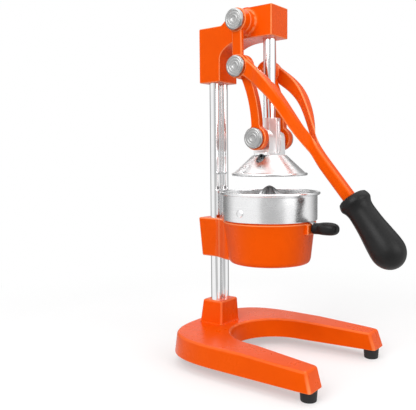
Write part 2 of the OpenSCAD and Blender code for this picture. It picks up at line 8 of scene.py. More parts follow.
import json
import logging
import math
from dataclasses import dataclass
from enum import Enum
from functools import cached_property
from typing import Callable, Protocol, Sequence

import bpy
from mathutils import Matrix, Vector


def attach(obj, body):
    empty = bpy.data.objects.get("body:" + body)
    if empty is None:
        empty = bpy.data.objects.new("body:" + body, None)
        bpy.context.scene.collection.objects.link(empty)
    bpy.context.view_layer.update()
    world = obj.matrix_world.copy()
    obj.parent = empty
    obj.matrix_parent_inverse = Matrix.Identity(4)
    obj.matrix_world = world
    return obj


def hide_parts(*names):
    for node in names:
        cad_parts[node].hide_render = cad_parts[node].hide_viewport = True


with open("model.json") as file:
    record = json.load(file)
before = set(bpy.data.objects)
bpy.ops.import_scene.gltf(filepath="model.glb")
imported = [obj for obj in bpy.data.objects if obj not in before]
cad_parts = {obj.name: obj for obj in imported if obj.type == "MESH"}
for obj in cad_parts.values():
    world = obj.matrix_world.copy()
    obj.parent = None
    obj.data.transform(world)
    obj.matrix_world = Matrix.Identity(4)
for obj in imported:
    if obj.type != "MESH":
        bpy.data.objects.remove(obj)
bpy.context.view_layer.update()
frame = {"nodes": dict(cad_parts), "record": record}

LOG = logging.getLogger("lemon_squeezer")
MM = 0.001
PRESS_MID = 28.9295  # mm from the plunger axis back to the middle of the frame
ON = 1e-6  # metres within which a point lies on a plane
SAME = 2e-6  # metres within which two points are one
MOST_EASE = 0.49  # share of a side that the rounding of one corner may take
SIDES = (-1, 1)  # right and left of the middle plane
UP, FRONT, LEFT = Vector((0, 0, 1)), Vector((1, 0, 0)), Vector((0, 1, 0))

Pair = tuple[float, float]
Corner = tuple[float, float, float]
Colour = tuple[float, float, float, float]
Socket = bpy.types.NodeSocket


class Slot(Enum):
    """The material slots of the record."""

    PAINT = "orange_paint"
    CHROME = "polished_chrome"
    TURNED = "turned_steel"
    BRUSHED = "brushed_steel"
    CAST = "cast_aluminium"
    RUBBER = "black_rubber"
    GRIP = "black_grip"
    SCREWS = "dark_screws"
    PINS = "pin_steel"


class Body(Enum):
    """The moving bodies of the press."""

    FRAME = "frame"
    STRAINER = "strainer"
    PLUNGER = "plunger"
    LEFT_LINK = "left_link"
    RIGHT_LINK = "right_link"
    HANDLE = "handle"


class Joinery(Enum):
    """How one solid works on another."""

    CUT = "DIFFERENCE"
    JOIN = "UNION"


class Kind(Enum):
    """What is picked in a mesh: the mode that selects it and the list that holds it."""

    POINTS = ("VERT", "vertices")
    EDGES = ("EDGE", "edges")
    FACES = ("FACE", "polygons")


def at(x: float, y: float, z: float) -> Vector:
    """Turn a place in mm round the plunger axis into metres in the frame.

    Args:
        x: Distance in front of the plunger axis.
        y: Distance to the left of the middle plane.
        z: Height above the table.

    Returns:
        The place in the frame.
    """
    return Vector(((x - PRESS_MID) * MM, y * MM, z * MM))


AXIS_FOOT = at(0, 0, 0)


def square_to(axis: Vector) -> Vector:
    """Give a direction square to an axis."""
    return axis.cross(LEFT if abs(axis.y) < 0.9 else UP).normalized()


def curve(a: Pair, b: Pair, c: Pair, d: Pair, steps: int) -> list[Pair]:
    """Follow a curve that leaves a towards b and arrives at d from c.

    Args:
        a: First point.
        b: Point that the curve leaves towards.
        c: Point that the curve arrives from.
        d: Last point.
        steps: Number of stretches.

    Returns:
        The points of the curve.
    """
    pa, pb, pc, pd = (Vector(p) for p in (a, b, c, d))
    return [tuple((1 - t) ** 3 * pa + 3 * (1 - t) ** 2 * t * pb + 3 * (1 - t) * t * t * pc + t ** 3 * pd)
            for t in (i / steps for i in range(steps + 1))]


def arc(cx: float, cy: float, r: float, a0: float, a1: float, steps: int) -> list[Pair]:
    """Give the points of an arc.

    Args:
        cx: First coordinate of the centre.
        cy: Second coordinate of the centre.
        r: Radius.
        a0: Angle in degrees where the arc starts.
        a1: Angle in degrees where it ends.
        steps: Number of stretches.

    Returns:
        The points from a0 to a1.
    """
    turns = [math.radians(a0 + (a1 - a0) * i / steps) for i in range(steps + 1)]
    return [(cx + r * math.cos(t), cy + r * math.sin(t)) for t in turns]


def bend(before: Vector, here: Vector, after: Vector, ease: float, steps: int) -> list[Vector]:
    """Round one corner of an outline.

    Args:
        before: The corner before it.
        here: The corner.
        after: The corner after it.
        ease: Length that the rounding takes on each side, just under half the side at most.
        steps: Stretches in the rounding.

    Returns:
        The points of the rounding.
    """
    start, end = (here + (other - here) * min(ease / (other - here).length, MOST_EASE)
                  for other in (before, after))
    return [(1 - t) ** 2 * start + 2 * (1 - t) * t * here + t * t * end
            for t in (k / steps for k in range(steps + 1))]


def eased(corners: Sequence[Corner], closed: bool = False, steps: int = 4) -> list[Pair]:
    """Round the corners of a flat outline.

    Args:
        corners: Each corner's two coordinates and the length that its rounding takes on each side.
        closed: Whether the last corner joins the first.
        steps: Stretches in each rounding.

    Returns:
        The points of the rounded outline.
    """
    points: list[Pair] = []
    for i, (x, y, ease) in enumerate(corners):
        if ease <= 0 or (not closed and i in (0, len(corners) - 1)):
            points.append((x, y))
            continue
        before, after = corners[i - 1], corners[(i + 1) % len(corners)]
        points += map(tuple, bend(Vector(before[:2]), Vector((x, y)), Vector(after[:2]), ease, steps))
    return points


def level(line: Sequence[Pair], x: float) -> float:
    """Read the height of a line of points at a place along it.

    Args:
        line: The points, from low x to high x.
        x: The place.

    Returns:
        The height, level past the two ends.
    """
    if x <= line[0][0]:
        return line[0][1]
    for (x0, y0), (x1, y1) in zip(line, line[1:]):
        if x0 <= x <= x1:
            return y0 + (y1 - y0) * (x - x0) / max(x1 - x0, 1e-9)
    return line[-1][1]


def flow(points: Sequence[Pair], steps: int) -> list[Pair]:
    """Lay a smooth line through some points.

    Args:
        points: The points.
        steps: Stretches between each two.

    Returns:
        The points of the line.
    """
    line = [Vector(p) for p in points]
    line = [2 * line[0] - line[1]] + line + [2 * line[-1] - line[-2]]
    smooth: list[Pair] = []
    for p0, p1, p2, p3 in zip(line, line[1:], line[2:], line[3:]):
        for t in (k / steps for k in range(steps)):
            p = 0.5 * (2 * p1 + (p2 - p0) * t + (2 * p0 - 5 * p1 + 4 * p2 - p3) * t * t
                       + (3 * p1 - p0 - 3 * p2 + p3) * t ** 3)
            smooth.append(tuple(p))
    return smooth + [tuple(points[-1])]


def put(name: str, data: bpy.types.ID) -> bpy.types.Object:
    """Add an object to the scene.

    Args:
        name: Its name.
        data: The mesh, lamp or camera that it holds.

    Returns:
        The object.
    """
    item = bpy.data.objects.new(name, data)
    bpy.context.scene.collection.objects.link(item)
    return item


def set_down() -> None:
    """Leave edit mode and deselect everything."""
    if bpy.context.object and bpy.context.object.mode != "OBJECT":
        bpy.ops.object.mode_set(mode="OBJECT")
    bpy.ops.object.select_all(action="DESELECT")


class Blank:
    """A piece in the making, with the moves that shape and dress it."""

    def __init__(self, item: bpy.types.Object) -> None:
        """Take up an object."""
        self.item = item

    @classmethod
    def start(cls, name: str) -> Blank:
        """Take up the primitive that was just added, and name it and its mesh."""
        bpy.context.object.name = bpy.context.object.data.name = name
        return cls(bpy.context.object)

    @classmethod
    def wire(cls, name: str, points: Sequence[Vector]) -> Blank:
        """Draw a line of edges through some points, and stay in edit mode.

        Args:
            name: Name of the piece.
            points: Places in the frame, one after the other.

        Returns:
            The piece.
        """
        set_down()
        bpy.ops.mesh.primitive_plane_add(size=MM, location=(0, 0, 0))
        piece = cls.start(name)
        piece.edit()
        bpy.ops.mesh.merge(type="CENTER")
        bpy.ops.transform.translate(value=points[0])
        for a, b in zip(points, points[1:]):
            bpy.ops.mesh.extrude_region_move(TRANSFORM_OT_translate={"value": b - a})
        bpy.ops.mesh.select_all(action="SELECT")
        return piece

    @classmethod
    def turned(cls, name: str, profile: Sequence[Pair], foot: Vector = AXIS_FOOT, axis: Vector = UP,
               steps: int = 144, smooth: float = 40, grained: bool = False) -> Blank:
        """Turn a profile round an axis, as on a lathe.

        Args:
            name: Name of the piece.
            profile: Radius and distance along the axis of each point, in mm.
            foot: Place on the axis from which the distances run.
            axis: Direction of the axis.
            steps: Number of stretches in the full turn.
            smooth: Largest angle in degrees that is shaded as one surface.
            grained: Whether the piece gets the grain attribute.

        Returns:
            The turned piece.
        """
        side = square_to(axis)
        piece = cls.wire(name, [foot + side * (r * MM) + axis * (h * MM) for r, h in profile])
        bpy.ops.mesh.spin(steps=steps, angle=2 * math.pi, center=foot, axis=axis)
        piece.close()
        piece.shade(smooth)
        if grained:
            piece.grain(foot, axis)
        return piece

    @classmethod
    def bar(cls, name: str, foot: Vector, r: float, low: float, high: float, axis: Vector = UP,
            edge: float = 0, steps: int = 72) -> Blank:
        """Turn a round bar.

        Args:
            name: Name of the piece.
            foot: Place on the axis from which the distances run.
            r: Radius in mm.
            low: Distance of its start.
            high: Distance of its end.
            axis: Direction of the axis.
            edge: Length of the rounding of its rims.
            steps: Number of stretches in the full turn.

        Returns:
            The bar.
        """
        return cls.turned(name, eased([(0, low, 0), (r, low, edge), (r, high, edge), (0, high, 0)]),
                          foot, axis, steps)

    @classmethod
    def slab(cls, name: str, outline: Sequence[Vector], push: Vector) -> Blank:
        """Fill a closed outline and pull it along.

        Args:
            name: Name of the piece.
            outline: The corners of a flat outline.
            push: How far and where it is pulled.

        Returns:
            The solid.
        """
        piece = cls.wire(name, outline)
        bpy.ops.mesh.edge_face_add()
        bpy.ops.mesh.extrude_region_move(TRANSFORM_OT_translate={"value": push})
        piece.close()
        return piece

    @classmethod
    def plate(cls, name: str, plan: Sequence[Pair], start: float, end: float) -> Blank:
        """Fill a plan at one height in mm and pull it to another."""
        return cls.slab(name, [at(x, y, start) for x, y in plan], UP * ((end - start) * MM))

    @classmethod
    def block(cls, name: str, x: Pair, half_w: float, z: Pair) -> Blank:
        """Add a rectangular solid across the middle plane, between two places in x and two heights."""
        return cls.plate(name, [(x[0], -half_w), (x[1], -half_w), (x[1], half_w), (x[0], half_w)], *z)

    @classmethod
    def skin(cls, name: str, loops: Sequence[Sequence[Vector]]) -> Blank:
        """Stretch a grid over a row of closed sections and close its two ends.

        Args:
            name: Name of the piece.
            loops: The sections, each with the same number of points.

        Returns:
            The solid.
        """
        set_down()
        around, along = len(loops[0]), len(loops) - 1
        bpy.ops.mesh.primitive_grid_add(x_subdivisions=around, y_subdivisions=along, size=1,
                                        location=(0, 0, 0))
        piece = cls.start(name)
        for point in piece.item.data.vertices:
            i, j = round((point.co.x + 0.5) * around) % around, round((point.co.y + 0.5) * along)
            point.co = loops[j][i]
        piece.edit()
        bpy.ops.mesh.remove_doubles(threshold=SAME / 10)
        bpy.ops.mesh.fill_holes(sides=0)
        piece.close()
        return piece

    @classmethod
    def recast(cls, name: str, node: str) -> Blank:
        """Take a merged copy of a node of the frame, with each flat face in one.

        Args:
            name: Name of the piece.
            node: The node.

        Returns:
            The copy.
        """
        mesh = frame["nodes"][node].data.copy()
        mesh.materials.clear()
        piece = cls(put(name, mesh))
        piece.edit()
        bpy.ops.mesh.customdata_custom_splitnormals_clear()
        bpy.ops.mesh.remove_doubles(threshold=SAME)
        bpy.ops.mesh.dissolve_limited(angle_limit=math.radians(0.4))
        bpy.ops.mesh.mark_sharp(clear=True)
        bpy.ops.object.mode_set(mode="OBJECT")
        return piece

    def another(self, name: str, move: Vector) -> Blank:
        """Copy the piece with its own mesh and move that mesh.

        Args:
            name: Name of the copy.
            move: How far it is moved.

        Returns:
            The copy.
        """
        mesh = self.item.data.copy()
        mesh.name = name
        copy = Blank(put(name, mesh))
        copy.edit()
        bpy.ops.transform.translate(value=move)
        bpy.ops.object.mode_set(mode="OBJECT")
        return copy

    def take(self) -> None:
        """Make the piece the only one selected."""
        set_down()
        self.item.select_set(True)
        bpy.context.view_layer.objects.active = self.item

    def edit(self) -> None:
        """Open the piece in edit mode with all of it selected."""
        self.take()
        bpy.ops.object.mode_set(mode="EDIT")
        bpy.ops.mesh.select_mode(type="VERT")
        bpy.ops.mesh.select_all(action="SELECT")

    @staticmethod
    def close() -> None:
        """Merge what lies in one place in the open piece, turn its faces outwards and shut it."""
        bpy.ops.mesh.select_all(action="SELECT")
        bpy.ops.mesh.remove_doubles(threshold=SAME)
        bpy.ops.mesh.normals_make_consistent(inside=False)
        bpy.ops.object.mode_set(mode="OBJECT")

    def pick(self, kind: Kind, test: Callable[[object], bool]) -> None:
        """Open the piece in edit mode with only what a test picks selected.

        Args:
            kind: Whether points, edges or faces are picked.
            test: Says of one of them whether it is selected.
        """
        mode, holder = kind.value
        self.edit()
        bpy.ops.mesh.select_all(action="DESELECT")
        bpy.ops.mesh.select_mode(type=mode)
        bpy.ops.object.mode_set(mode="OBJECT")
        for part in getattr(self.item.data, holder):
            part.select = test(part)
        bpy.ops.object.mode_set(mode="EDIT")

    def beside(self) -> dict[tuple[int, int], list[bpy.types.MeshPolygon]]:
        """List the faces beside each edge, by the numbers of its two ends.

        Returns:
            The faces, to be read before the mesh is next opened.
        """
        faces: dict[tuple[int, int], list[bpy.types.MeshPolygon]] = {}
        for face in self.item.data.polygons:
            for key in face.edge_keys:
                faces.setdefault(key, []).append(face)
        return faces

    def grain(self, foot: Vector, axis: Vector) -> None:
        """Store for each point where it lies on the lathe: two for the turn and one for the travel.

        Args:
            foot: Place on the axis.
            axis: Direction of the axis.
        """
        side = square_to(axis)
        other = axis.cross(side)
        layer = self.item.data.attributes.new("grain", "FLOAT_VECTOR", "POINT")
        for point, value in zip(self.item.data.vertices, layer.data):
            arm = point.co - foot
            a, b, h = arm.dot(side), arm.dot(other), arm.dot(axis)
            r = max(math.hypot(a, b), 1e-6)
            value.vector = (a / r, b / r, r + 1.7 * h)

    def apply(self, kind: str, **settings: object) -> None:
        """Add a modifier and apply it.

        Args:
            kind: Type of the modifier.
            settings: Its settings by name.
        """
        self.take()
        bpy.ops.object.modifier_add(type=kind)
        modifier = self.item.modifiers[-1]
        for key, value in settings.items():
            setattr(modifier, key, value)
        bpy.ops.object.modifier_apply(modifier=modifier.name)

    def work(self, tool: Blank, how: Joinery) -> None:
        """Cut the piece with another solid or join the two, and put the other away."""
        self.apply("BOOLEAN", object=tool.item, operation=how.value, solver="EXACT")
        bpy.data.objects.remove(tool.item)

    def drill(self, foot: Vector, r: float, low: float, high: float, axis: Vector = UP,
              steps: int = 72) -> None:
        """Bore a round hole, with its sizes given as for a bar."""
        self.work(Blank.bar("drill", foot, r, low, high, axis, 0, steps), Joinery.CUT)

    def trim(self, place: Vector, way: Vector) -> None:
        """Cut off what lies past a plane and close the cut.

        Args:
            place: A place on the plane.
            way: Direction square to the plane, towards what is cut off.
        """
        self.edit()
        bpy.ops.mesh.bisect(plane_co=place, plane_no=way.normalized(), use_fill=True, clear_outer=True)
        self.close()

    def shade(self, angle: float) -> None:
        """Shade as one surface what turns less than an angle in degrees."""
        self.take()
        bpy.ops.object.shade_smooth_by_angle(angle=math.radians(angle))

    def polish(self) -> None:
        """Shade the piece so that its flat faces stay flat between rounded edges, and mark those for a
        painted highlight.
        """
        self.shade(42)
        self.apply("WEIGHTED_NORMAL", keep_sharp=True, weight=80)
        self.mark_highlight_rims()

    def mark_highlight_rims(self, narrow: float = 1.8, gentle: float = 14, sharp: float = 38) -> None:
        """Write at each point how sharply a rounded edge turns there, where the coat paints a highlight.

        Args:
            narrow: Width in mm of the widest face that belongs to a rounded edge.
            gentle: Turn in degrees per mm that is still no edge.
            sharp: Turn in degrees per mm of a full edge.
        """
        mesh = self.item.data
        places = [point.co for point in mesh.vertices]
        widths: list[float] = []
        broad: set[int] = set()
        for face in mesh.polygons:
            widths.append(face.area / max((places[a] - places[b]).length for a, b in face.edge_keys) / MM)
            if widths[-1] > narrow:
                broad.update(face.vertices)
        turns = [0.0] * len(places)
        for key, faces in self.beside().items():
            if len(faces) == 2 and (faces[1].center - faces[0].center).dot(faces[0].normal) < 0:
                width = max((widths[faces[0].index] + widths[faces[1].index]) / 2, 0.2)
                turn = math.degrees(faces[0].normal.angle(faces[1].normal, 0)) / width
                for point in set(key) - broad:
                    turns[point] = max(turns[point], turn)
        # these values mask the painted highlight that the coat lays along rounded edges
        highlight_rims = mesh.attributes.new("rim", "FLOAT", "POINT")
        highlight_rims.data.foreach_set("value", [min(max((t - gentle) / (sharp - gentle), 0), 1) for t in turns])

    def soften(self, width: float) -> None:
        """Round all sharp edges to a width in mm."""
        self.apply("BEVEL", width=width * MM, segments=3, limit_method="ANGLE",
                   angle_limit=math.radians(30), miter_outer="MITER_ARC", use_clamp_overlap=False)
        self.polish()

    def bevel_where(self, test: Callable[[Vector, Vector], bool], width: float, segments: int = 3,
                    angle: float = 20) -> None:
        """Round the edges that a test picks by their two ends.

        Args:
            test: Says of the two ends of an edge whether it is rounded.
            width: Width of the rounding in mm.
            segments: Faces across it.
            angle: Smallest angle in degrees between the faces of an edge that is rounded.
        """
        turns = {key: faces[0].normal.angle(faces[1].normal, 0)
                 for key, faces in self.beside().items() if len(faces) == 2}
        self.pick(Kind.EDGES, lambda edge: turns.get(edge.key, 0) > math.radians(angle)
                  and test(*(self.item.data.vertices[i].co for i in edge.vertices)))
        bpy.ops.mesh.bevel(offset=width * MM, segments=segments, affect="EDGES")
        bpy.ops.object.mode_set(mode="OBJECT")

    def taper(self, z: float, share: Corner, x: float) -> None:
        """Draw the points at one height in or out, about a place on the middle plane.

        Args:
            z: Their height in mm.
            share: What their distances are multiplied by.
            x: The place that stays.
        """
        self.pick(Kind.POINTS, lambda point: abs(point.co.z - z * MM) < ON)
        bpy.ops.transform.resize(value=share, center_override=at(x, 0, z))
        bpy.ops.object.mode_set(mode="OBJECT")

    def repeat(self, moves: Sequence[Vector]) -> None:
        """Copy what the piece holds to further places.

        Args:
            moves: How far each of them is from the first.
        """
        self.edit()
        here = Vector()
        for move in moves:
            bpy.ops.mesh.duplicate_move(TRANSFORM_OT_translate={"value": move - here})
            here = move
        bpy.ops.object.mode_set(mode="OBJECT")

    def mirror(self) -> None:
        """Add the mirrored other side and open the piece along the middle plane."""
        self.pick(Kind.FACES, lambda face: all(abs(self.item.data.vertices[i].co.y) < ON
                                               for i in face.vertices))
        bpy.ops.mesh.delete(type="FACE")
        bpy.ops.object.mode_set(mode="OBJECT")
        self.apply("MIRROR", use_axis=(False, True, False), merge_threshold=SAME)
        self.edit()
        self.close()

    def fit(self, body: Body, finish: Finish, node: str) -> None:
        """Give the piece its body and its finish, and hide the node that it replaces.

        Args:
            body: The body that it moves with.
            finish: Its finish.
            node: The node that it replaces.
        """
        mesh = self.item.data
        mesh.materials.clear()
        mesh.materials.append(finish.material)
        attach(self.item, body.value)
        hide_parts(node)
        LOG.info("%s: %d faces", self.item.name, len(mesh.polygons))


def grey(tone: float, blue: float = 0) -> Colour:
    """Give a grey, with a little more blue where that is given."""
    return (tone, tone, tone + blue, 1)


class Nodes:
    """The node tree of a material or a world, with short ways to add and join nodes."""

    def __init__(self, owner: bpy.types.Material | bpy.types.World) -> None:
        """Open the node tree.

        Args:
            owner: A new material or world.
        """
        owner.use_nodes = True
        self.owner = owner
        self.tree = owner.node_tree

    def add(self, kind: str, inputs: dict[str | int, object] | None = None,
            **settings: object) -> bpy.types.Node:
        """Add a node.

        Args:
            kind: Its type, without the words ShaderNode.
            inputs: Values or sockets for its inputs, by name or number.
            settings: Its own settings.

        Returns:
            The node.
        """
        node = self.tree.nodes.new("ShaderNode" + kind)
        for key, value in settings.items():
            setattr(node, key, value)
        for key, value in (inputs or {}).items():
            self.feed(node.inputs[key], value)
        return node

    def feed(self, socket: Socket, value: object) -> None:
        """Join an input to another socket, or set its value.

        Args:
            socket: The input.
            value: Its value, or the socket that feeds it.
        """
        if isinstance(value, Socket):
            self.tree.links.new(value, socket)
        else:
            socket.default_value = value

    def place(self) -> Socket:
        """Give the object coordinates."""
        return self.add("TexCoord").outputs["Object"]

    def stored(self, name: str, output: str) -> Socket:
        """Give an attribute of the mesh."""
        return self.add("Attribute", attribute_name=name).outputs[output]

    def stretch(self, where: Socket, scale: Corner) -> Socket:
        """Give coordinates drawn out by a scale."""
        return self.add("Mapping", {"Vector": where, "Scale": scale}).outputs[0]

    def noise(self, where: Socket, scale: float, detail: float, rough: float = 0.5) -> Socket:
        """Give a noise value, with a scale, some octaves and the weight of the finer ones."""
        return self.add("TexNoise", {"Vector": where, "Scale": scale, "Detail": detail,
                                     "Roughness": rough}).outputs["Fac"]

    def ramp(self, value: Socket, low: float, high: float, out_low: float = 0, out_high: float = 1,
             **settings: object) -> Socket:
        """Map a value from one range to another."""
        return self.add("MapRange", {"Value": value, "From Min": low, "From Max": high, "To Min": out_low,
                                     "To Max": out_high}, **settings).outputs["Result"]

    def math(self, operation: str, a: Socket, b: object) -> Socket:
        """Work out a value from two others."""
        return self.add("Math", {0: a, 1: b}, operation=operation).outputs[0]

    def mix(self, share: object, a: object, b: object) -> Socket:
        """Mix two colours, by the share of the second."""
        return self.add("Mix", {0: share, 6: a, 7: b}, data_type="RGBA").outputs[2]

    def bump(self, height: Socket, strength: float, depth: float, under: Socket | None = None) -> Socket:
        """Turn heights into a bumped normal.

        Args:
            height: The heights.
            strength: Strength of the bump.
            depth: Its depth in mm.
            under: A normal that it adds to.

        Returns:
            The normal.
        """
        inputs = {"Height": height, "Strength": strength, "Distance": depth * MM}
        return self.add("Bump", inputs if under is None else inputs | {"Normal": under}).outputs["Normal"]

    def dress(self, **inputs: object) -> bpy.types.Material:
        """Set the shader's inputs, named with underscores for spaces.

        Args:
            inputs: Values or sockets.

        Returns:
            The material.
        """
        for key, value in inputs.items():
            self.feed(self.tree.nodes["Principled BSDF"].inputs[key.replace("_", " ")], value)
        return self.owner


class Recipe(Protocol):
    """What a finish is made by."""

    name: str

    def dress(self, n: Nodes) -> bpy.types.Material:
        """Build the finish in the node tree of a new material and return that material."""


@dataclass(frozen=True)
class PowderCoat:
    """Glossy orange powder coat over a casting."""

    name: str = "orange_powder_coat"
    colour: Colour = (0.88, 0.096, 0.0015, 1)
    deep: Colour = (0.79, 0.074, 0.001, 1)
    spark: Colour = (0.93, 0.15, 0.008, 1)
    gloss_tint: Colour = (1.0, 0.30, 0.06, 1)
    # painted highlight: the paler colour that the coat takes along rounded edges
    rim: Colour = (1.0, 0.33, 0.13, 1)

    def dress(self, n: Nodes) -> bpy.types.Material:
        """Build slow drifts of colour and gloss over a fine peel, with a painted highlight along the rounded
        edges.

        Args:
            n: The node tree of a new material.

        Returns:
            That material.
        """
        where = n.place()
        cloud = n.noise(where, 26, 4, 0.6)
        fleck = n.noise(where, 1500, 1)
        shade = n.mix(n.ramp(cloud, 0.35, 0.7, 0, 0.5), self.colour, self.deep)
        shade = n.mix(n.ramp(fleck, 0.62, 0.75, 0, 0.08), shade, self.spark)
        # painted highlight along rounded edges, where the rim attribute is high
        shade = n.mix(n.ramp(n.stored("rim", "Fac"), 0, 1, 0, 0.8), shade, self.rim)
        peel = n.bump(n.noise(where, 620, 2), 0.04, 0.03)
        wave = n.bump(n.noise(where, 70, 2), 0.05, 0.2, peel)
        return n.dress(Base_Color=shade, Roughness=n.ramp(cloud, 0.3, 0.7, 0.24, 0.33), Normal=wave,
                       Specular_Tint=self.gloss_tint, Specular_IOR_Level=0.3)


@dataclass(frozen=True)
class BrightBar:
    """Polished chrome of the columns and the plunger rod."""

    name: str = "polished_chrome_bar"
    colour: Colour = grey(0.86, 0.01)
    bright: Colour = grey(0.91)
    rough: Pair = (0.035, 0.085)

    def dress(self, n: Nodes) -> bpy.types.Material:
        """Build a near mirror with faint lengthwise wipe marks.

        Args:
            n: The node tree of a new material.

        Returns:
            That material.
        """
        where = n.place()
        wipe = n.noise(n.stretch(where, (1, 1, 0.02)), 900, 2)
        tone = n.mix(n.ramp(n.noise(where, 60, 3), 0.3, 0.7), self.colour, self.bright)
        return n.dress(Base_Color=tone, Metallic=1.0, Roughness=n.ramp(wipe, 0.3, 0.7, *self.rough),
                       Normal=n.bump(wipe, 0.03, 0.02))


@dataclass(frozen=True)
class LatheFinish:
    """Bright metal with fine marks that run round, as from a lathe or a brush."""

    name: str
    colour: Colour
    dull: Colour
    rough: Pair
    mark_scale: float
    mark_depth: float

    def dress(self, n: Nodes) -> bpy.types.Material:
        """Build the marks from the grain attribute of a turned piece.

        Args:
            n: The node tree of a new material.

        Returns:
            That material.
        """
        line = n.noise(n.stretch(n.stored("grain", "Vector"), (0.6, 0.6, self.mark_scale)), 1, 3, 0.65)
        tone = n.mix(n.ramp(line, 0.3, 0.7), self.colour, self.dull)
        gloss = n.ramp(n.math("ADD", line, n.noise(n.place(), 90, 3)), 0.7, 1.3, *self.rough)
        return n.dress(Base_Color=tone, Metallic=1.0, Roughness=gloss,
                       Normal=n.bump(line, 0.25, self.mark_depth))


@dataclass(frozen=True)
class PolishedCasting:
    """Bright cast aluminium, polished by hand."""

    name: str = "polished_cast_aluminium"
    colour: Colour = grey(0.94, 0.005)
    dull: Colour = grey(0.86, 0.005)
    rough: Pair = (0.30, 0.42)

    def dress(self, n: Nodes) -> bpy.types.Material:
        """Build soft polishing waves, faint pits and scratches.

        Args:
            n: The node tree of a new material.

        Returns:
            That material.
        """
        where = n.place()
        scratch = n.noise(n.stretch(where, (1, 1, 0.12)), 1300, 2)
        tone = n.mix(n.ramp(n.noise(where, 55, 4, 0.6), 0.3, 0.7), self.colour, self.dull)
        soft = n.bump(n.noise(where, 120, 2), 0.16, 0.22)
        return n.dress(Base_Color=tone, Metallic=1.0, Roughness=n.ramp(scratch, 0.3, 0.75, *self.rough),
                       Normal=n.bump(scratch, 0.08, 0.03, soft))


@dataclass(frozen=True)
class Moulded:
    """Black moulded rubber or plastic."""

    name: str
    colour: Colour
    pale: Colour
    rough: Pair
    skin_scale: float
    skin_depth: float
    gloss: float

    def dress(self, n: Nodes) -> bpy.types.Material:
        """Build a fine skin with slightly uneven gloss.

        Args:
            n: The node tree of a new material.

        Returns:
            That material.
        """
        where = n.place()
        cloud = n.noise(where, 40, 3)
        tone = n.mix(n.ramp(cloud, 0.35, 0.7), self.colour, self.pale)
        skin = n.bump(n.noise(where, self.skin_scale, 3, 0.6), 0.22, self.skin_depth)
        return n.dress(Base_Color=tone, Roughness=n.ramp(cloud, 0.3, 0.7, *self.rough),
                       Specular_IOR_Level=self.gloss, Normal=skin)


@dataclass(frozen=True)
class PlainSteel:
    """Steel with a thin uneven skin: dark oxide on screws, bare on pins and sheet."""

    name: str
    colour: Colour
    worn: Colour
    rough: Pair

    def dress(self, n: Nodes) -> bpy.types.Material:
        """Build the skin with its worn spots.

        Args:
            n: The node tree of a new material.

        Returns:
            That material.
        """
        spots = n.noise(n.place(), 700, 4, 0.6)
        tone = n.mix(n.ramp(spots, 0.5, 0.75), self.colour, self.worn)
        return n.dress(Base_Color=tone, Metallic=1.0, Roughness=n.ramp(spots, 0.3, 0.7, *self.rough),
                       Normal=n.bump(spots, 0.15, 0.04))


class Finish(Enum):
    """The finishes of the press, each with its slot in the record and its recipe."""

    PAINT = (Slot.PAINT, PowderCoat())
    CHROME = (Slot.CHROME, BrightBar())
    TURNED = (Slot.TURNED, LatheFinish("turned_steel_caps", grey(0.47, -0.005), grey(0.36),
                                       (0.24, 0.38), 5200, 0.05))
    BRUSHED = (Slot.BRUSHED, LatheFinish("brushed_steel_sheet", grey(0.93), grey(0.80, 0.01),
                                         (0.20, 0.33), 2600, 0.04))
    BELL = (Slot.CAST, LatheFinish("polished_bell", grey(0.86), grey(0.76, 0.005), (0.24, 0.35), 900, 0.03))
    REAMER = (Slot.CAST, LatheFinish("satin_reamer", grey(0.62, 0.005), grey(0.52, 0.005),
                                     (0.26, 0.38), 700, 0.03))
    CAST = (Slot.CAST, PolishedCasting())
    SHEET = (Slot.BRUSHED, PlainSteel("plain_steel_sheet", grey(0.56, 0.005), grey(0.66), (0.24, 0.36)))
    RUBBER = (Slot.RUBBER, Moulded("black_foot_rubber", grey(0.016, 0.001), grey(0.028),
                                   (0.55, 0.75), 900, 0.12, 0.3))
    GRIP = (Slot.GRIP, Moulded("black_satin_grip", grey(0.009, 0.0002), grey(0.014),
                               (0.34, 0.43), 1500, 0.05, 0.18))
    SCREWS = (Slot.SCREWS, PlainSteel("dark_oxide_screws", grey(0.10, 0.005), (0.30, 0.29, 0.27, 1),
                                      (0.32, 0.5)))
    PINS = (Slot.PINS, PlainSteel("ground_pin_steel", grey(0.55, 0.01), grey(0.68), (0.2, 0.34)))

    def __init__(self, slot: Slot, recipe: Recipe) -> None:
        """Keep the slot and the recipe by name."""
        self.slot = slot
        self.recipe = recipe

    @cached_property
    def material(self) -> bpy.types.Material:
        """Build the material when it is first asked for."""
        return self.recipe.dress(Nodes(bpy.data.materials.new(self.recipe.name)))


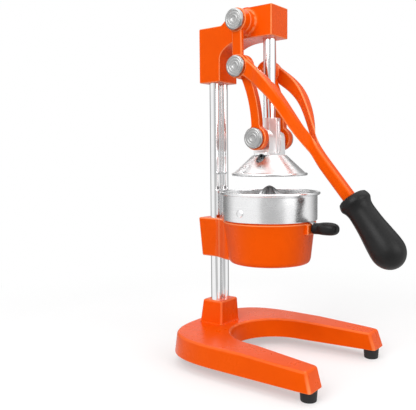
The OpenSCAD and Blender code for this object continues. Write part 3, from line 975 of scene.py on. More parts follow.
@dataclass
class Stand:
    """The base with its feet, the head and the bowl with its clamp."""

    base_rear: float = 103
    base_half_w: float = 94
    base_front: float = 103.6
    rear_round: float = 0.63
    base_top: float = 36.2
    front_top: float = 32.8
    slope_x: float = 20
    slope_run: float = 77.4
    base_draft: Corner = (0.9505, 0.968, 1)
    draft_x: float = -42.4
    base_edge: float = 2.6
    bay_x: float = 11
    bay_r: float = 55
    bay_front: float = 66.4
    foot_h: float = 12.4
    foot_r: float = 9.0
    foot_bore: float = 2.55
    foot_well: Pair = (4.6, 4)
    front_foot: Pair = (9.7, 1.7)
    rear_foot: Pair = (27, 40)
    column_x: float = -72.5
    column_y: float = 8.1
    column_r: float = 6.4
    bolt_sink_r: float = 5.6
    tap_r: float = 3.05
    tap_back: float = 21
    tap_up: float = 24.25
    socket_top: float = 64.8
    socket_x: Pair = (-18.5, 15.7)
    socket_draft_x: float = 9.37
    socket_half_w: float = 19.5
    socket_draft: Corner = (28.8 / 34.2, 34 / 39, 1)
    head_edge: float = 1.2
    bowl_low: float = 118.5
    bowl_top: float = 167.0
    rim_z: float = 168.4
    bowl_r_top: float = 54.0
    bowl_r_low: float = 47.2
    bowl_wall: float = 3.6
    outlet_r: float = 7.5
    clamp_low: float = 119.8
    clamp_x: Pair = (-19.7, 6.5)
    clamp_half_w: float = 17.5
    clamp_draft: Corner = (25.6 / 26.2, 16.7 / 17.5, 1)
    clamp_draft_x: float = 108.7
    pad_half_w: float = 9.5
    tab_z: float = 161.2

    def outline(self) -> list[Pair]:
        """Give the lower outline of the base: a rounded rear and two straight sides.

        Returns:
            The points of the plan.
        """
        side, front = self.base_half_w, self.base_front
        rear = [(-self.base_rear * abs(c) ** self.rear_round,
                 math.copysign(side * abs(s) ** self.rear_round, s)) for c, s in arc(0, 0, 1, 90, 270, 72)]
        return rear + eased([(0, -side, 0), (front - 14, -side, 6), (front, 1 - side, 3.5),
                             (front, side - 1, 3.5), (front - 14, side, 6), (0, side, 0)])[1:-1]

    def socket(self) -> Blank:
        """Model the tapered block that holds the columns.

        Returns:
            The block.
        """
        x, top, (rear, front) = self.column_x, self.socket_top, self.socket_x
        block = Blank.block("socket", (x + rear, x + front), self.socket_half_w, (self.base_top - 6, top))
        block.taper(top, self.socket_draft, x + self.socket_draft_x)
        block.bevel_where(lambda a, b: max(a.z, b.z) > (top - 0.1) * MM, 2.4, 4)
        return block

    def base(self) -> None:
        """Model the horseshoe base with the socket, and round its edges."""
        base = Blank.plate("base", self.outline(), self.foot_h, self.base_top)
        base.taper(self.base_top, self.base_draft, self.draft_x)
        base.trim(at(self.slope_x, 0, self.base_top),
                  Vector((self.base_top - self.front_top, 0, self.slope_run)))
        bay = arc(self.bay_x, 0, self.bay_r, 90, 270, 72)
        bay += [(self.base_front + 1, s * self.bay_front) for s in SIDES]
        base.work(Blank.plate("bay", bay, self.foot_h - 1, self.foot_h + 49), Joinery.CUT)
        low, top, front = self.foot_h * MM, self.base_top * MM, at(90, 0, 0).x
        base.bevel_where(lambda a, b: min(a.x, b.x) > front and abs(a.z - b.z) > 0.01, 3.4, 4, 40)
        base.bevel_where(lambda a, b: min(a.z, b.z) > low * 2.2, self.base_edge, 4)
        base.bevel_where(lambda a, b: max(a.z, b.z) < low + ON, 1.0, 2)
        base.work(self.socket(), Joinery.JOIN)
        ahead = at(self.column_x + self.socket_x[1] + 0.2, 0, 0).x
        side = (self.socket_half_w + 0.1) * MM
        base.bevel_where(lambda a, b: all(abs(p.z - top) < 2e-5 and p.x < ahead and abs(p.y) < side
                                          for p in (a, b)), 1.8)
        for s in SIDES:
            column = at(self.column_x, s * self.column_y, 0)
            base.drill(column, self.column_r, 40, 80)
            base.drill(column, self.bolt_sink_r, 10, self.foot_h + 6.6)
        base.polish()
        base.fit(Body.FRAME, Finish.PAINT, "base_casting")

    def feet(self) -> None:
        """Turn a rubber foot and copy it to its four places."""
        r, h, bore, (well_r, well) = self.foot_r, self.foot_h, self.foot_bore, self.foot_well
        profile = eased([(bore, well, 0), (well_r, well, 0), (well_r, 0, 0.3), (r - 0.9, 0, 1.2),
                         (r, h - 0.6, 0.5), (r - 0.5, h, 0), (bore, h, 0), (bore, well, 0)])
        (front_x, front_y), (rear_x, rear_y) = self.front_foot, self.rear_foot
        places = [at(x, s * y, 0) for s in SIDES for x, y in
                  ((self.base_front - front_x, (self.base_half_w + self.bay_front) / 2 - front_y),
                   (rear_x - self.base_rear, self.base_half_w - rear_y))]
        foot = Blank.turned("foot_rubber", profile, places[0], steps=64)
        foot.repeat([place - places[0] for place in places[1:]])
        foot.fit(Body.FRAME, Finish.RUBBER, "feet")

    def head(self) -> None:
        """Round the edges of the head."""
        head = Blank.recast("head", "head_casting")
        head.soften(self.head_edge)
        head.fit(Body.FRAME, Finish.PAINT, "head_casting")

    def clamp(self) -> Blank:
        """Model the tapered block round the columns behind the bowl.

        Returns:
            The block.
        """
        x, low, (rear, front) = self.column_x, self.clamp_low, self.clamp_x
        block = Blank.block("clamp", (x + rear, x + front), self.clamp_half_w, (self.bowl_top, low))
        block.taper(low, self.clamp_draft, self.clamp_draft_x)
        block.bevel_where(lambda a, b: min(a.x, b.x) < at(x, 0, 0).x, 1.8, 4)
        return block

    def neck(self) -> Blank:
        """Model the flare from the clamp to the bowl, with hollow and rounded creases.

        Returns:
            The flare.
        """
        x, wall = self.column_x, -self.bowl_r_low
        side = eased([(x + 2.5, -16.6, 0), (x + 9, -17.6, 5), (x + 18.5, -22.5, 7),
                      (wall + 2.2, -27.5, 4), (wall + 17.2, -27.5, 0)], steps=6)
        plan = side + [(px, -py) for px, py in reversed(side)]
        flare = Blank.plate("neck", plan, self.clamp_low, self.bowl_top)
        flare.bevel_where(lambda a, b: abs(a.z - b.z) < ON, 1.6, 3, 40)
        return flare

    def bowl(self) -> None:
        """Model the bowl with its clamp, neck, pad and outlet, and a groove under the ring."""
        low, top, rim, r0, r1 = self.bowl_low, self.bowl_top, self.rim_z, self.bowl_r_low, self.bowl_r_top
        outer = eased([(0, low, 0), (r0 - 1.6, low, 2.6), (r0 + 0.6, low + 4, 2.4), (r1 - 2.8, low + 35.5, 9),
                       (r1, top - 0.9, 0.7), (r1 - 1.7, rim - 0.3, 0.4), (r1 - 1.8, rim, 0.1),
                       (0, rim, 0)], steps=6)
        pad = Blank.block("pad", (r1 - 14, r1 + 1.6), self.pad_half_w, (self.tab_z - 7, self.tab_z + 4.8))
        pad.bevel_where(lambda a, b: max(a.x, b.x) > at(r1, 0, 0).x, 1.3, 4)
        bowl = Blank.turned("bowl", outer)
        for part in (self.clamp(), self.neck(), pad):
            bowl.work(part, Joinery.JOIN)
        outlet, inside = self.outlet_r, r1 - self.bowl_wall
        inner = eased([(0, low - 1, 0), (outlet, low - 1, 0), (outlet, low + 3.5, 1), (r0 - 6, low + 8, 4),
                       (r0 - 3.6, low + 11, 4), (inside, top, 0), (inside, rim + 1, 0),
                       (0, rim + 1, 0)], steps=5)
        bowl.work(Blank.turned("hollow", inner, steps=150), Joinery.CUT)
        for s in SIDES:
            y = s * self.column_y
            bowl.drill(at(self.column_x, y, 0), self.column_r, low - 2, top + 4)
            bowl.drill(at(self.column_x - self.tap_back, y, low + self.tap_up), self.tap_r, 0, 16, FRONT)
        bowl.polish()
        bowl.fit(Body.FRAME, Finish.PAINT, "bowl_casting")

    def build(self) -> None:
        """Make the fixed castings and their feet."""
        self.base()
        self.feet()
        self.head()
        self.bowl()


@dataclass
class Strainer:
    """The lift-out ring with its rivets, reamer and front grip."""

    ring_r: float = 55.2
    ring_z0: float = 168.4
    ring_z1: float = 199.3
    sheet_t: float = 1.0
    ledge_w: float = 2.4
    rim_r: float = 1.8
    rivet_turn: float = 4.2
    reamer_r: float = 34.0
    reamer_foot: float = 159.2
    reamer_h: float = 48.8
    reamer_power: float = 0.62
    ribs: int = 10
    rib_deep: float = 3.6
    rib_from: float = 14
    tab_x: float = 56.9
    tab_len: float = 30.0
    tab_z: float = 161.2
    strip_half_w: float = 4.0
    strip_half_t: float = 0.6
    grip_sections: tuple[tuple[float, ...], ...] = (
        (0, 5.4, -5.6, 5.4, 2), (0.5, 6.0, -6.1, 6.0, 2), (2, 6.3, -6.3, 6.3, 2), (6, 6.3, -6.2, 6.4, 2.1),
        (8, 6.6, -6.2, 6.7, 2.2), (10, 7.6, -6.3, 7.2, 2.4), (12.5, 8.6, -6.4, 7.5, 2.6),
        (16, 9.0, -6.4, 7.7, 2.7), (20, 9.0, -6.4, 7.7, 2.7), (24, 8.6, -6.2, 7.3, 2.6),
        (27, 7.6, -5.4, 6.4, 2.4), (28.9, 6.0, -4.0, 5.0, 2.3), (29.7, 4.2, -2.6, 3.7, 2.2),
        (30, 2.2, -1.2, 2.2, 2))

    def ring(self) -> None:
        """Turn the wall of the ring with its rolled rim and inner ledge."""
        r, t, z0, z1 = self.ring_r, self.sheet_t, self.ring_z0, self.ring_z1
        ledge = r - t - self.ledge_w
        profile = eased([(r - t, z1 - 1.2, 0), (r - t, z0 + t, 1.0), (ledge, z0 + t, 0)])
        profile += eased([(ledge, z0, 0), (r, z0, 1.1), (r, z1 - 3.4, 0.6), (r + 0.35, z1 - 1.5, 0)])
        profile += arc(r + 1.5, z1, self.rim_r, -128, 190, 26)
        ring = Blank.turned("ring", profile + profile[:1], smooth=50, grained=True)
        ring.fit(Body.STRAINER, Finish.BRUSHED, "strainer_ring")

    def rivets(self) -> None:
        """Turn the domed rivets in the sides of the ring."""
        t = self.sheet_t
        profile = eased([(0, 0, 0), (3.4, 0, 0.3), (3.4, 1.1, 0), (2, 1.1, 0), (2, t + 1.35, 0),
                         (4.3, t + 1.35, 0.2), (4.1, t + 2.2, 0.6), (2.6, t + 2.9, 1.2), (0, t + 3, 0)])
        z = self.ring_z0 + (self.ring_z1 - self.ring_z0) / 3
        turn = math.radians(self.rivet_turn)
        out = Vector((-math.sin(turn), math.cos(turn), 0))
        rivets = Blank.turned("rivets", profile, at(0, 0, z) + out * ((self.ring_r - t - 1.3) * MM), out, 32,
                              grained=True)
        rivets.mirror()
        rivets.fit(Body.STRAINER, Finish.BRUSHED, "ring_rivets")

    def reamer(self) -> None:
        """Turn a dome and draw its skin in between rounded ribs."""
        r, foot = self.reamer_r, self.reamer_foot
        dome = [(r * (1 - u) ** self.reamer_power, foot + self.reamer_h * u)
                for u in (i / 40 for i in range(1, 41))]
        cone = Blank.turned("reamer", [(0, foot), (r, foot)] + dome, steps=24 * self.ribs, smooth=60,
                            grained=True)
        for point in cone.item.data.vertices:
            arm = point.co - AXIS_FOOT
            away = math.hypot(arm.x, arm.y) / MM
            if away < 0.05:
                continue
            swing = abs(math.cos(math.atan2(arm.y, arm.x) * self.ribs / 2))
            depth = self.rib_deep * min(1.0, away / self.rib_from) * (1 - swing ** 5)
            share = 1 - depth / max(away, depth)
            point.co.x = at(arm.x / MM * share, 0, 0).x
            point.co.y *= share
        cone.shade(60)
        cone.fit(Body.STRAINER, Finish.REAMER, "reamer_cone")

    def grip(self) -> None:
        """Skin the rounded front grip over its sections of distance, half width, low, high and power."""
        loops = []
        for x, wide, low, high, power in self.grip_sections:
            loop = []
            for c, s in arc(0, 0, 1, 0, 351, 39):
                y = math.copysign(wide * abs(c) ** (2 / power), c)
                z = math.copysign(abs(s) ** (2 / power), s) * (high - low) / 2 + (high + low) / 2
                loop.append(at(self.tab_x + x, y, self.tab_z + z))
            loops.append(loop)
        grip = Blank.skin("front_grip", loops)
        grip.apply("SUBSURF", levels=1, render_levels=1)
        grip.shade(60)
        grip.fit(Body.STRAINER, Finish.GRIP, "tab_grip")

    def strip(self) -> None:
        """Bend the steel strip that holds the front grip on the ring."""
        x, z, half_w = self.tab_x, self.ring_z0, self.strip_half_w
        path = eased([(self.ring_r - 1.5, z - 0.6, 0), (x - 0.4, z - 0.6, 1.6), (x + 3.4, z - 5, 2),
                      (x + self.tab_len - 7, z - 5, 0)])
        above, below = [], []
        for i, (px, pz) in enumerate(path):
            (x0, z0), (x1, z1) = path[max(i - 1, 0)], path[min(i + 1, len(path) - 1)]
            side = Vector((z0 - z1, x1 - x0)).normalized() * self.strip_half_t
            above.append(at(px + side.x, -half_w, pz + side.y))
            below.append(at(px - side.x, -half_w, pz - side.y))
        strip = Blank.slab("grip_strip", above + below[::-1], LEFT * (2 * half_w * MM))
        strip.bevel_where(lambda a, b: abs(a.y - b.y) < ON, 0.25, 2, 40)
        strip.polish()
        strip.fit(Body.STRAINER, Finish.SHEET, "strainer_tab")

    def build(self) -> None:
        """Make the pieces that lift out together."""
        self.ring()
        self.rivets()
        self.reamer()
        self.strip()
        self.grip()


@dataclass
class Caps:
    """The round caps on the ends of the pins."""

    r: float = 11.7
    t: float = 5.3
    low: Corner = (0, 31.0, 261.9)
    mid: Corner = (-19.2228, 38.3, 342.0264)
    top: Corner = (-20.2, 38.3, 392.917)
    smooth: float = 25

    def profile(self) -> list[Pair]:
        """Give the turned outline: a bevelled edge and plain rings round a hollow middle.

        Returns:
            The points of the outline.
        """
        r, t = self.r, self.t
        return eased([(0, 0, 0), (r - 0.7, 0, 0), (r, 0.7, 0.3), (r, t - 1.5, 0.35), (r - 1.5, t, 0.3),
                      (r - 2.5, t, 0.12), (r - 2.8, t - 0.5, 0.12), (r - 3.4, t - 0.5, 0.12),
                      (r - 3.7, t - 0.2, 0.12), (6.1, t - 0.2, 0.15), (5.8, t - 0.6, 0.15),
                      (5.1, t - 0.6, 0.12), (4.8, t - 0.25, 0.12), (3.3, t - 0.25, 0.15),
                      (2.9, t - 0.9, 0.2), (1.3, t - 1.1, 0.3), (0, t - 1.1, 0)], steps=3)

    def build(self) -> None:
        """Turn a cap and copy it to the three pairs."""
        cap = Blank.turned("cap_blank", self.profile(), Vector(), LEFT, 72, self.smooth, True)
        for node, place, body in (("lower_caps", self.low, Body.PLUNGER),
                                  ("middle_caps", self.mid, Body.HANDLE),
                                  ("top_caps", self.top, Body.HANDLE)):
            pair = cap.another(f"{node}_turned", at(*place))
            pair.mirror()
            pair.shade(self.smooth)
            pair.fit(body, Finish.TURNED, node)
        bpy.data.objects.remove(cap.item)


@dataclass
class Linkwork:
    """The two curved links."""

    edge: float = 1.3

    def build(self) -> None:
        """Round the edges of both links."""
        for body, node in ((Body.LEFT_LINK, "link_left"), (Body.RIGHT_LINK, "link_right")):
            link = Blank.recast(f"{node}_forged", node)
            link.soften(self.edge)
            link.fit(body, Finish.PAINT, node)


@dataclass
class Plunger:
    """The yoke and the press cone under the rod."""

    foot_z: float = 242.9
    foot_t: float = 4.0
    foot_half_w: float = 20.5
    notch_y: float = 16.8
    notch_x: float = 8.3
    foot_front: float = 11
    collar_top: float = 285.0
    collar_x: float = 1.6
    collar_r: float = 11.2
    rod_r: float = 7.0
    rod_low: float = 269.5
    low_z: float = 261.9
    lug_r: float = 10.6
    lug_y: Pair = (8.0, 17.5)
    lug_slope: Pair = (9, 9.5)
    hub_r: float = 9.0
    hub_y: float = 21.6
    rib_half_w: float = 1.6
    rib_x: Pair = (1, 13.6)
    tap_r: float = 2.55
    rim_z: float = 221.0
    rim_r: float = 42.2
    top_r: float = 19.5
    wall: float = 2.4
    bead_r: float = 1.7
    window_r: float = 4.7
    window_x: float = 2.2
    window_z: float = 239.3
    window_start: float = 12

    def windows(self, piece: Blank, spare: float = 0) -> None:
        """Cut the windows on both sides of the middle plane out of a piece.

        Args:
            piece: The piece.
            spare: What is added to their radius.
        """
        for s in SIDES:
            foot = at(self.window_x, s * self.window_start, self.window_z)
            piece.drill(foot, self.window_r + spare, 0, 34, LEFT * s)

    def on_window(self, place: Vector) -> bool:
        """Say whether a place in the bell lies on the rim of a window.

        Args:
            place: The place.

        Returns:
            Whether it does.
        """
        middle = at(self.window_x, self.window_start, self.window_z)
        away = math.hypot(place.x - middle.x, place.z - middle.z) / MM
        return abs(place.y) > middle.y + 1e-4 and abs(away - self.window_r) < 0.02

    def lugs(self) -> Blank:
        """Model the body of the yoke: round over the pin, sloped at its shoulders and open in front.

        Returns:
            The body.
        """
        r, (y0, y1), z, low = self.lug_r, self.lug_y, self.low_z, self.foot_z
        side = [(r, low + 1)] + arc(0, z, r, 0, 180, 36) + [(-r, low + 1)]
        lugs = Blank.slab("yoke", [at(px, -y1, pz) for px, pz in side], LEFT * (2 * y1 * MM))
        out, rise = self.lug_slope
        for s in SIDES:
            lugs.trim(at(0, s * y1, z + 5), Vector((0, s * out, rise)))
        lugs.work(Blank.block("gap", (3, r + 4), y0, (low - 1, z + 20)), Joinery.CUT)
        lugs.bevel_where(lambda a, b: min(a.z, b.z) > (low + 3) * MM, 0.8, 3, 30)
        return lugs

    def collar(self) -> Blank:
        """Model the eight-sided collar round the rod.

        Returns:
            The collar.
        """
        low = self.foot_z
        corners = arc(self.collar_x, 0, self.collar_r, 22.5, 337.5, 7)
        collar = Blank.plate("collar", corners, low + 1.6, self.collar_top)
        collar.bevel_where(lambda a, b: max(a.z, b.z) > (low + 3) * MM, 0.5, 3, 30)
        return collar

    def foot(self) -> Blank:
        """Model the flange that sits on the press cone, with its two arched cuts.

        Returns:
            The flange.
        """
        z, x0, x1, y0, y1 = self.foot_z, self.notch_x, self.foot_front, self.notch_y, self.foot_half_w
        corners = [(x1, -y0, 1.5), (x0, -y0, 0.5), (x0, -y1, 1.5), (-x0, -y1, 1.5), (-x0, -y0, 0.5),
                   (-x1, -y0, 1.5)]
        plan = eased(corners + [(-x, -y, ease) for x, y, ease in corners], True, 3)
        foot = Blank.plate("foot", plan, z, z + self.foot_t)
        foot.bevel_where(lambda a, b: min(a.z, b.z) > (z + 1) * MM, 0.9, 3, 30)
        self.windows(foot, 0.3)
        return foot

    def yoke(self) -> None:
        """Join the lugs, collar, flange, hubs and front rib, and drill them."""
        yoke, top = self.lugs(), self.collar_top
        rib = Blank.block("rib", self.rib_x, self.rib_half_w, (self.foot_z + 2.1, top - 4))
        rib.bevel_where(lambda a, b: max(a.x, b.x) > at(13, 0, 0).x, 1.0, 3, 30)
        hub = Blank.bar("hub", at(0, 0, self.low_z), self.hub_r, -self.hub_y, self.hub_y, LEFT, 0.5, 70)
        for part in (self.collar(), rib, hub, self.foot()):
            yoke.work(part, Joinery.JOIN)
        yoke.drill(AXIS_FOOT, self.rod_r, self.rod_low, top + 2)
        yoke.drill(at(-12, 0, top - 5), self.tap_r, 0, 10, FRONT, 32)
        yoke.polish()
        yoke.fit(Body.PLUNGER, Finish.CAST, "yoke_casting")

    def bell(self) -> None:
        """Turn the press cone, cut its two windows and round their edges."""
        top, rim, r, under = self.foot_z, self.rim_z, self.rim_r, self.foot_z - self.wall
        profile = eased([(0, top, 0), (self.top_r, top, 1.4), (r - 3.2, rim + 3.6, 3),
                         (r - 0.9, rim + 1.5, 0)], steps=6)
        profile += arc(r, rim, self.bead_r, 120, -120, 20)
        profile += eased([(r - 0.9, rim - 1.5, 0), (r - 5.6, rim + 0.6, 3), (self.top_r - 2, under, 2),
                          (0, under, 0)], steps=6)
        bell = Blank.turned("press_bell", profile, smooth=50)
        self.windows(bell)
        bell.bevel_where(lambda a, b: self.on_window(a) and self.on_window(b), 0.4, 2, 30)
        bell.shade(50)
        bell.grain(AXIS_FOOT, UP)
        bell.fit(Body.PLUNGER, Finish.BELL, "press_cone")

    def build(self) -> None:
        """Make the yoke and the bell."""
        self.yoke()
        self.bell()


@dataclass
class Handle:
    """The forked handle and its grip."""

    mid: Pair = (-19.2228, 342.0264)
    top: Pair = (-20.2, 392.917)
    eye_r: float = 13.1
    top_y: Pair = (27.5, 38.2)
    mid_y: Pair = (31.0, 38.2)
    arm_y: Pair = (31.7, 37.9)
    bar_half_w: float = 6.0
    bar_deep: float = 13.0
    bar_slope: float = 50.7
    bar_rows: int = 24
    reach: float = 120.9
    drop: float = 144.4
    upright_w: float = 13.0
    upright_t: float = 5.8
    edge: float = 2.6
    bar_edge: float = 4.2
    bar_edge_x: float = 70
    stations: int = 44
    calming: int = 24
    grip_slope: float = 53.2
    grip_len: float = 87.3
    grip_r: float = 18.4
    collar_r: float = 17.3
    neck_r: float = 14.3
    tang_r: float = 5.6

    def sides(self) -> tuple[list[Pair], list[Pair]]:
        """Give the upper and the lower edge of the handle in side view, station by station.

        Returns:
            The two rows of points, from the middle pin on.
        """
        slope = math.radians(self.bar_slope)
        along = Vector((math.cos(slope), -math.sin(slope)))
        up = Vector((math.sin(slope), math.cos(slope))) * self.bar_deep / 2
        end = Vector((self.reach - 4.2, 1.7 - self.drop))
        far = end + along * 3
        high, low = end + up - along * 63, end - up - along * 52.6
        above = curve((11.2, 7), (50.8, -22.3), (48.2, -28.9), high, self.stations)
        below = curve((7.2, -11), (48.9, -40.4), (44.6, -38.8), low, self.stations)
        for share in (i / self.bar_rows for i in range(1, self.bar_rows + 1)):
            above.append(tuple(high.lerp(far + up, share)))
            below.append(tuple(low.lerp(far - up, share)))
        return [(4.0, 4.6)] + self.calmed(above), [(2.0, -7.0)] + self.calmed(below)

    def calmed(self, line: list[Pair]) -> list[Pair]:
        """Take the kink out of a line by drawing each point towards its neighbours.

        Args:
            line: The points.

        Returns:
            The calmed points.
        """
        points = [Vector(p) for p in line]
        for _ in range(self.calming):
            points[1:-1] = [(a + 2 * b + c) / 4 for a, b, c in zip(points, points[1:], points[2:])]
        return [tuple(p) for p in points]

    def fork(self) -> Blank:
        """Skin the left half of the fork and bar, closed along the middle plane.

        Returns:
            The half.
        """
        outer = curve((0, self.arm_y[1]), (30.5, 49.4), (45, 28.8), (55.4, self.bar_half_w), 60)
        inner = curve((0, self.arm_y[0]), (13.6, 35.4), (53.2, 10.6), (60.5, 0), 60)
        mx, mz = self.mid
        loops = []
        for (ax, az), (bx, bz) in zip(*self.sides()):
            gap = level(inner, mx + (ax + bx) / 2)
            corners = [at(mx + ax, level(outer, mx + ax), mz + az),
                       at(mx + bx, level(outer, mx + bx), mz + bz),
                       at(mx + bx, gap, mz + bz), at(mx + ax, gap, mz + az)]
            edge = self.edge + (self.bar_edge - self.edge) * min(max((mx + ax) / self.bar_edge_x, 0), 1)
            inside = max(min(self.edge, 0.5 * gap), 1e-4)
            section: list[Vector] = []
            for i, ease in enumerate((edge, edge, inside, inside)):
                section += bend(corners[i - 1], corners[i], corners[(i + 1) % 4], ease * MM, 5)
            loops.append(section)
        return Blank.skin("handle_fork", loops)

    def casting(self) -> None:
        """Join the fork, its eyes and the short upright arm on the left, and mirror them."""
        fork = self.fork()
        (mx, mz), (tx, tz) = self.mid, self.top
        for (x, z), ends in ((self.top, self.top_y), (self.mid, self.mid_y)):
            fork.work(Blank.bar("eye", at(x, 0, z), self.eye_r, *ends, LEFT, 1.2), Joinery.JOIN)
        lean = Vector((mx - tx, 0, mz - tz)).normalized()
        across = Vector((lean.z, 0, -lean.x)) * (self.upright_w / 2 * MM)
        inset = 0.05
        head, foot = (at(x, self.arm_y[0] + inset, z) for x, z in (self.top, self.mid))
        arm = Blank.slab("upright", [head - across, head + across, foot + across, foot - across],
                         LEFT * ((self.upright_t - inset) * MM))
        arm.bevel_where(lambda a, b: (a - b).length > 0.03, 1.6)
        fork.work(arm, Joinery.JOIN)
        fork.mirror()
        fork.polish()
        fork.fit(Body.HANDLE, Finish.PAINT, "handle_casting")

    def grip(self) -> None:
        """Turn the black grip with its flared collar and swelling body."""
        c, n, g, end = self.collar_r, self.neck_r, self.grip_r, self.grip_len
        dome = end - g * 0.9 - 4
        line = flow([(c - 1.6, 1.7), (c - 0.55, 4.3), (c, 7), (c - 0.15, 9.2), (c - 1.2, 11.4),
                     (n + 0.75, 14), (n + 0.05, 18.5), (n + 0.3, 27), (n + 1.1, 38), (n + 2.6, 50),
                     (g - 0.25, 61), (g, dome)], 5)
        tail = [(g * x, dome + (end - dome) * y) for x, y in arc(0, 0, 1, 0, 90, 18)[1:]]
        mouth = eased([(self.tang_r, 0.1, 0), (13.0, 0.1, 1.0), line[0] + (0,)])
        profile = [(0, 6), (self.tang_r, 6)] + mouth + line[1:] + tail
        slope = math.radians(self.grip_slope)
        grip = Blank.turned("handle_grip_turned", profile,
                            at(self.mid[0] + self.reach, 0, self.mid[1] - self.drop),
                            Vector((math.cos(slope), 0, -math.sin(slope))), 112, 60)
        grip.fit(Body.HANDLE, Finish.GRIP, "handle_grip")

    def build(self) -> None:
        """Make the casting of the handle and its grip."""
        self.casting()
        self.grip()


@dataclass(frozen=True)
class Lamp:
    """A soft square lamp, with its place and size in metres and its power in watts."""

    name: str
    place: Corner
    size: float
    power: float

    def hang(self, aim: Vector) -> None:
        """Add the lamp to the scene.

        Args:
            aim: The place that it points at.
        """
        data = bpy.data.lights.new(self.name, "AREA")
        data.size, data.energy = self.size, self.power
        place = Vector(self.place)
        turn = (place - aim).to_track_quat("Z", "Y").to_matrix().to_4x4()
        put(self.name, data).matrix_world = Matrix.Translation(place) @ turn


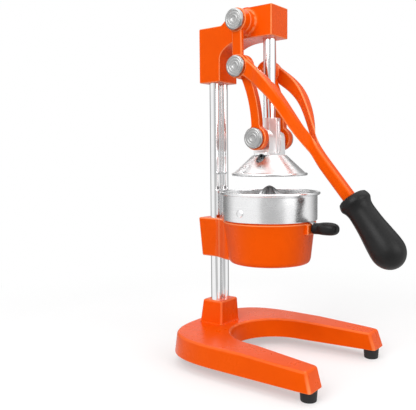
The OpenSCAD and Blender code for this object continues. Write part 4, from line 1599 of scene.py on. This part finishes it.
@dataclass
class Studio:
    """The pale floor, the soft light and the camera."""

    camera_at: Corner = (0.33509, -0.58690, 0.24233)
    turn: float = 37.77
    pitch: float = 4.73
    roll: float = -0.51
    lens: float = 51.13
    sensor: float = 36
    clear: Pair = (0.28, 0.65)
    floor_r: float = 1.2
    floor_tone: Pair = (0.52, 0.54)
    dark_from: Pair = (0.12, 0.28)
    lift: float = 0.42
    fill: float = 0.34
    backdrop: Corner = (-0.6125, 0.7905, 0)
    greys: tuple[Pair, ...] = ((0.0, 0.55), (0.05, 0.58), (0.075, 1.0), (0.58, 1.0), (0.72, 0.6),
                               (0.83, 0.26), (0.95, 0.20), (0.985, 0.9))
    aim: Corner = (0.02, 0, 0.2)
    lamps: tuple[Lamp, ...] = (Lamp("key", (0.0, -1.35, 1.1), 1.1, 17),
                               Lamp("side", (1.3, -0.2, 0.7), 1.0, 8),
                               Lamp("top", (0.0, 0.35, 1.6), 2.2, 18))

    def camera(self) -> None:
        """Set the camera at the photograph's viewing angle."""
        turn, pitch, roll = (math.radians(v) for v in (self.turn, self.pitch, self.roll))
        ahead = Vector((-math.sin(turn) * math.cos(pitch), math.cos(turn) * math.cos(pitch),
                        -math.sin(pitch)))
        right = Vector((math.cos(turn), math.sin(turn), 0))
        up = right.cross(ahead)
        rows = (right * math.cos(roll) + up * math.sin(roll),
                up * math.cos(roll) - right * math.sin(roll), -ahead)
        data = bpy.data.cameras.new("camera")
        data.lens, data.sensor_width, data.clip_start = self.lens, self.sensor, 0.01
        camera = put("camera", data)
        camera.matrix_world = Matrix.Translation(self.camera_at) @ Matrix(rows).transposed().to_4x4()
        bpy.context.scene.camera = camera

    def walls(self, n: Nodes, way: Socket) -> Socket:
        """Give the greys that metal sees, from the camera's side to the backdrop.

        Args:
            n: The node tree.
            way: The direction in which it looks.

        Returns:
            The colour.
        """
        facing = n.add("VectorMath", {0: way, 1: self.backdrop}, operation="DOT_PRODUCT").outputs["Value"]
        node = n.add("ValToRGB", {"Fac": n.ramp(facing, -1, 1)})
        stops = node.color_ramp.elements
        stops[0].position, stops[1].position = self.greys[0][0], self.greys[-1][0]
        for place, _ in self.greys[1:-1]:
            stops.new(place)
        for stop, (_, tone) in zip(stops, self.greys):
            stop.color = grey(tone)
        return node.outputs["Color"]

    def floor(self) -> None:
        """Lay a pale floor that keeps the shadow, turns white further out and shows metal the walls."""
        set_down()
        bpy.ops.mesh.primitive_circle_add(vertices=96, radius=self.floor_r, fill_type="NGON",
                                          location=(0, 0, 0))
        floor = bpy.context.object
        floor.name = "floor"
        n = Nodes(bpy.data.materials.new("pale_floor"))
        where = n.place()
        tone = n.mix(n.ramp(n.noise(where, 3, 2), 0.3, 0.7), *map(grey, self.floor_tone))
        n.dress(Base_Color=tone, Roughness=0.9, Specular_IOR_Level=0.1)
        path = n.add("LightPath").outputs
        glossy = path["Is Glossy Ray"]
        seen = n.math("MAXIMUM", n.math("MAXIMUM", path["Is Camera Ray"], glossy),
                      path["Is Transmission Ray"])
        glow = n.add("Emission", {"Color": grey(1), "Strength": n.math("MULTIPLY", seen, self.lift)})
        near = n.add("AddShader", {0: n.tree.nodes["Principled BSDF"].outputs[0], 1: glow.outputs[0]})
        way = n.add("VectorMath", {0: where}, operation="NORMALIZE").outputs["Vector"]
        white = n.add("Emission", {"Color": n.mix(glossy, grey(1), self.walls(n, way)), "Strength": 1.0})
        away = n.add("VectorMath", {0: where}, operation="LENGTH").outputs["Value"]
        far = n.math("MULTIPLY", seen, n.ramp(away, *self.clear, interpolation_type="SMOOTHSTEP"))
        metal = n.math("MULTIPLY", glossy, n.ramp(away, *self.dark_from))
        both = n.add("MixShader", {0: n.math("MAXIMUM", far, metal), 1: near.outputs[0], 2: white.outputs[0]})
        n.feed(n.tree.nodes["Material Output"].inputs["Surface"], both.outputs[0])
        floor.data.materials.append(n.owner)

    def world(self) -> None:
        """Fill the room with even light, white to the camera, with soft and dark walls for the metal."""
        bpy.context.scene.world = bpy.data.worlds.new("studio")
        n = Nodes(bpy.context.scene.world)
        path = n.add("LightPath").outputs
        walls = self.walls(n, n.add("TexCoord").outputs["Generated"])
        room = n.mix(path["Is Glossy Ray"], grey(self.fill), walls)
        n.feed(n.tree.nodes["Background"].inputs["Color"], n.mix(path["Is Camera Ray"], room, grey(1)))

    def build(self) -> None:
        """Set up the studio."""
        self.camera()
        self.floor()
        self.world()
        for lamp in self.lamps:
            lamp.hang(Vector(self.aim))
        bpy.context.scene.view_settings.view_transform = "Standard"


def carry_over() -> None:
    """Give every node of the frame the finish of its slot, plain where its own piece is turned or brushed."""
    plain = {Slot.TURNED: Finish.PINS, Slot.BRUSHED: Finish.SHEET}
    slots = {part["node"]: Slot(part["material_slot"]) for part in frame["record"]["subparts"]}
    for node, piece in frame["nodes"].items():
        for holder in piece.material_slots:
            holder.material = plain.get(slots[node], Finish[slots[node].name]).material


def main() -> None:
    """Build the press, dress it and set up the studio."""
    logging.basicConfig(level=logging.INFO, format="%(message)s")
    carry_over()
    for part in (Stand(), Strainer(), Plunger(), Linkwork(), Handle(), Caps()):
        part.build()
        LOG.info("%s is ready", type(part).__name__)
    Studio().build()
    bpy.context.view_layer.update()


if __name__ == "__main__":
    main()
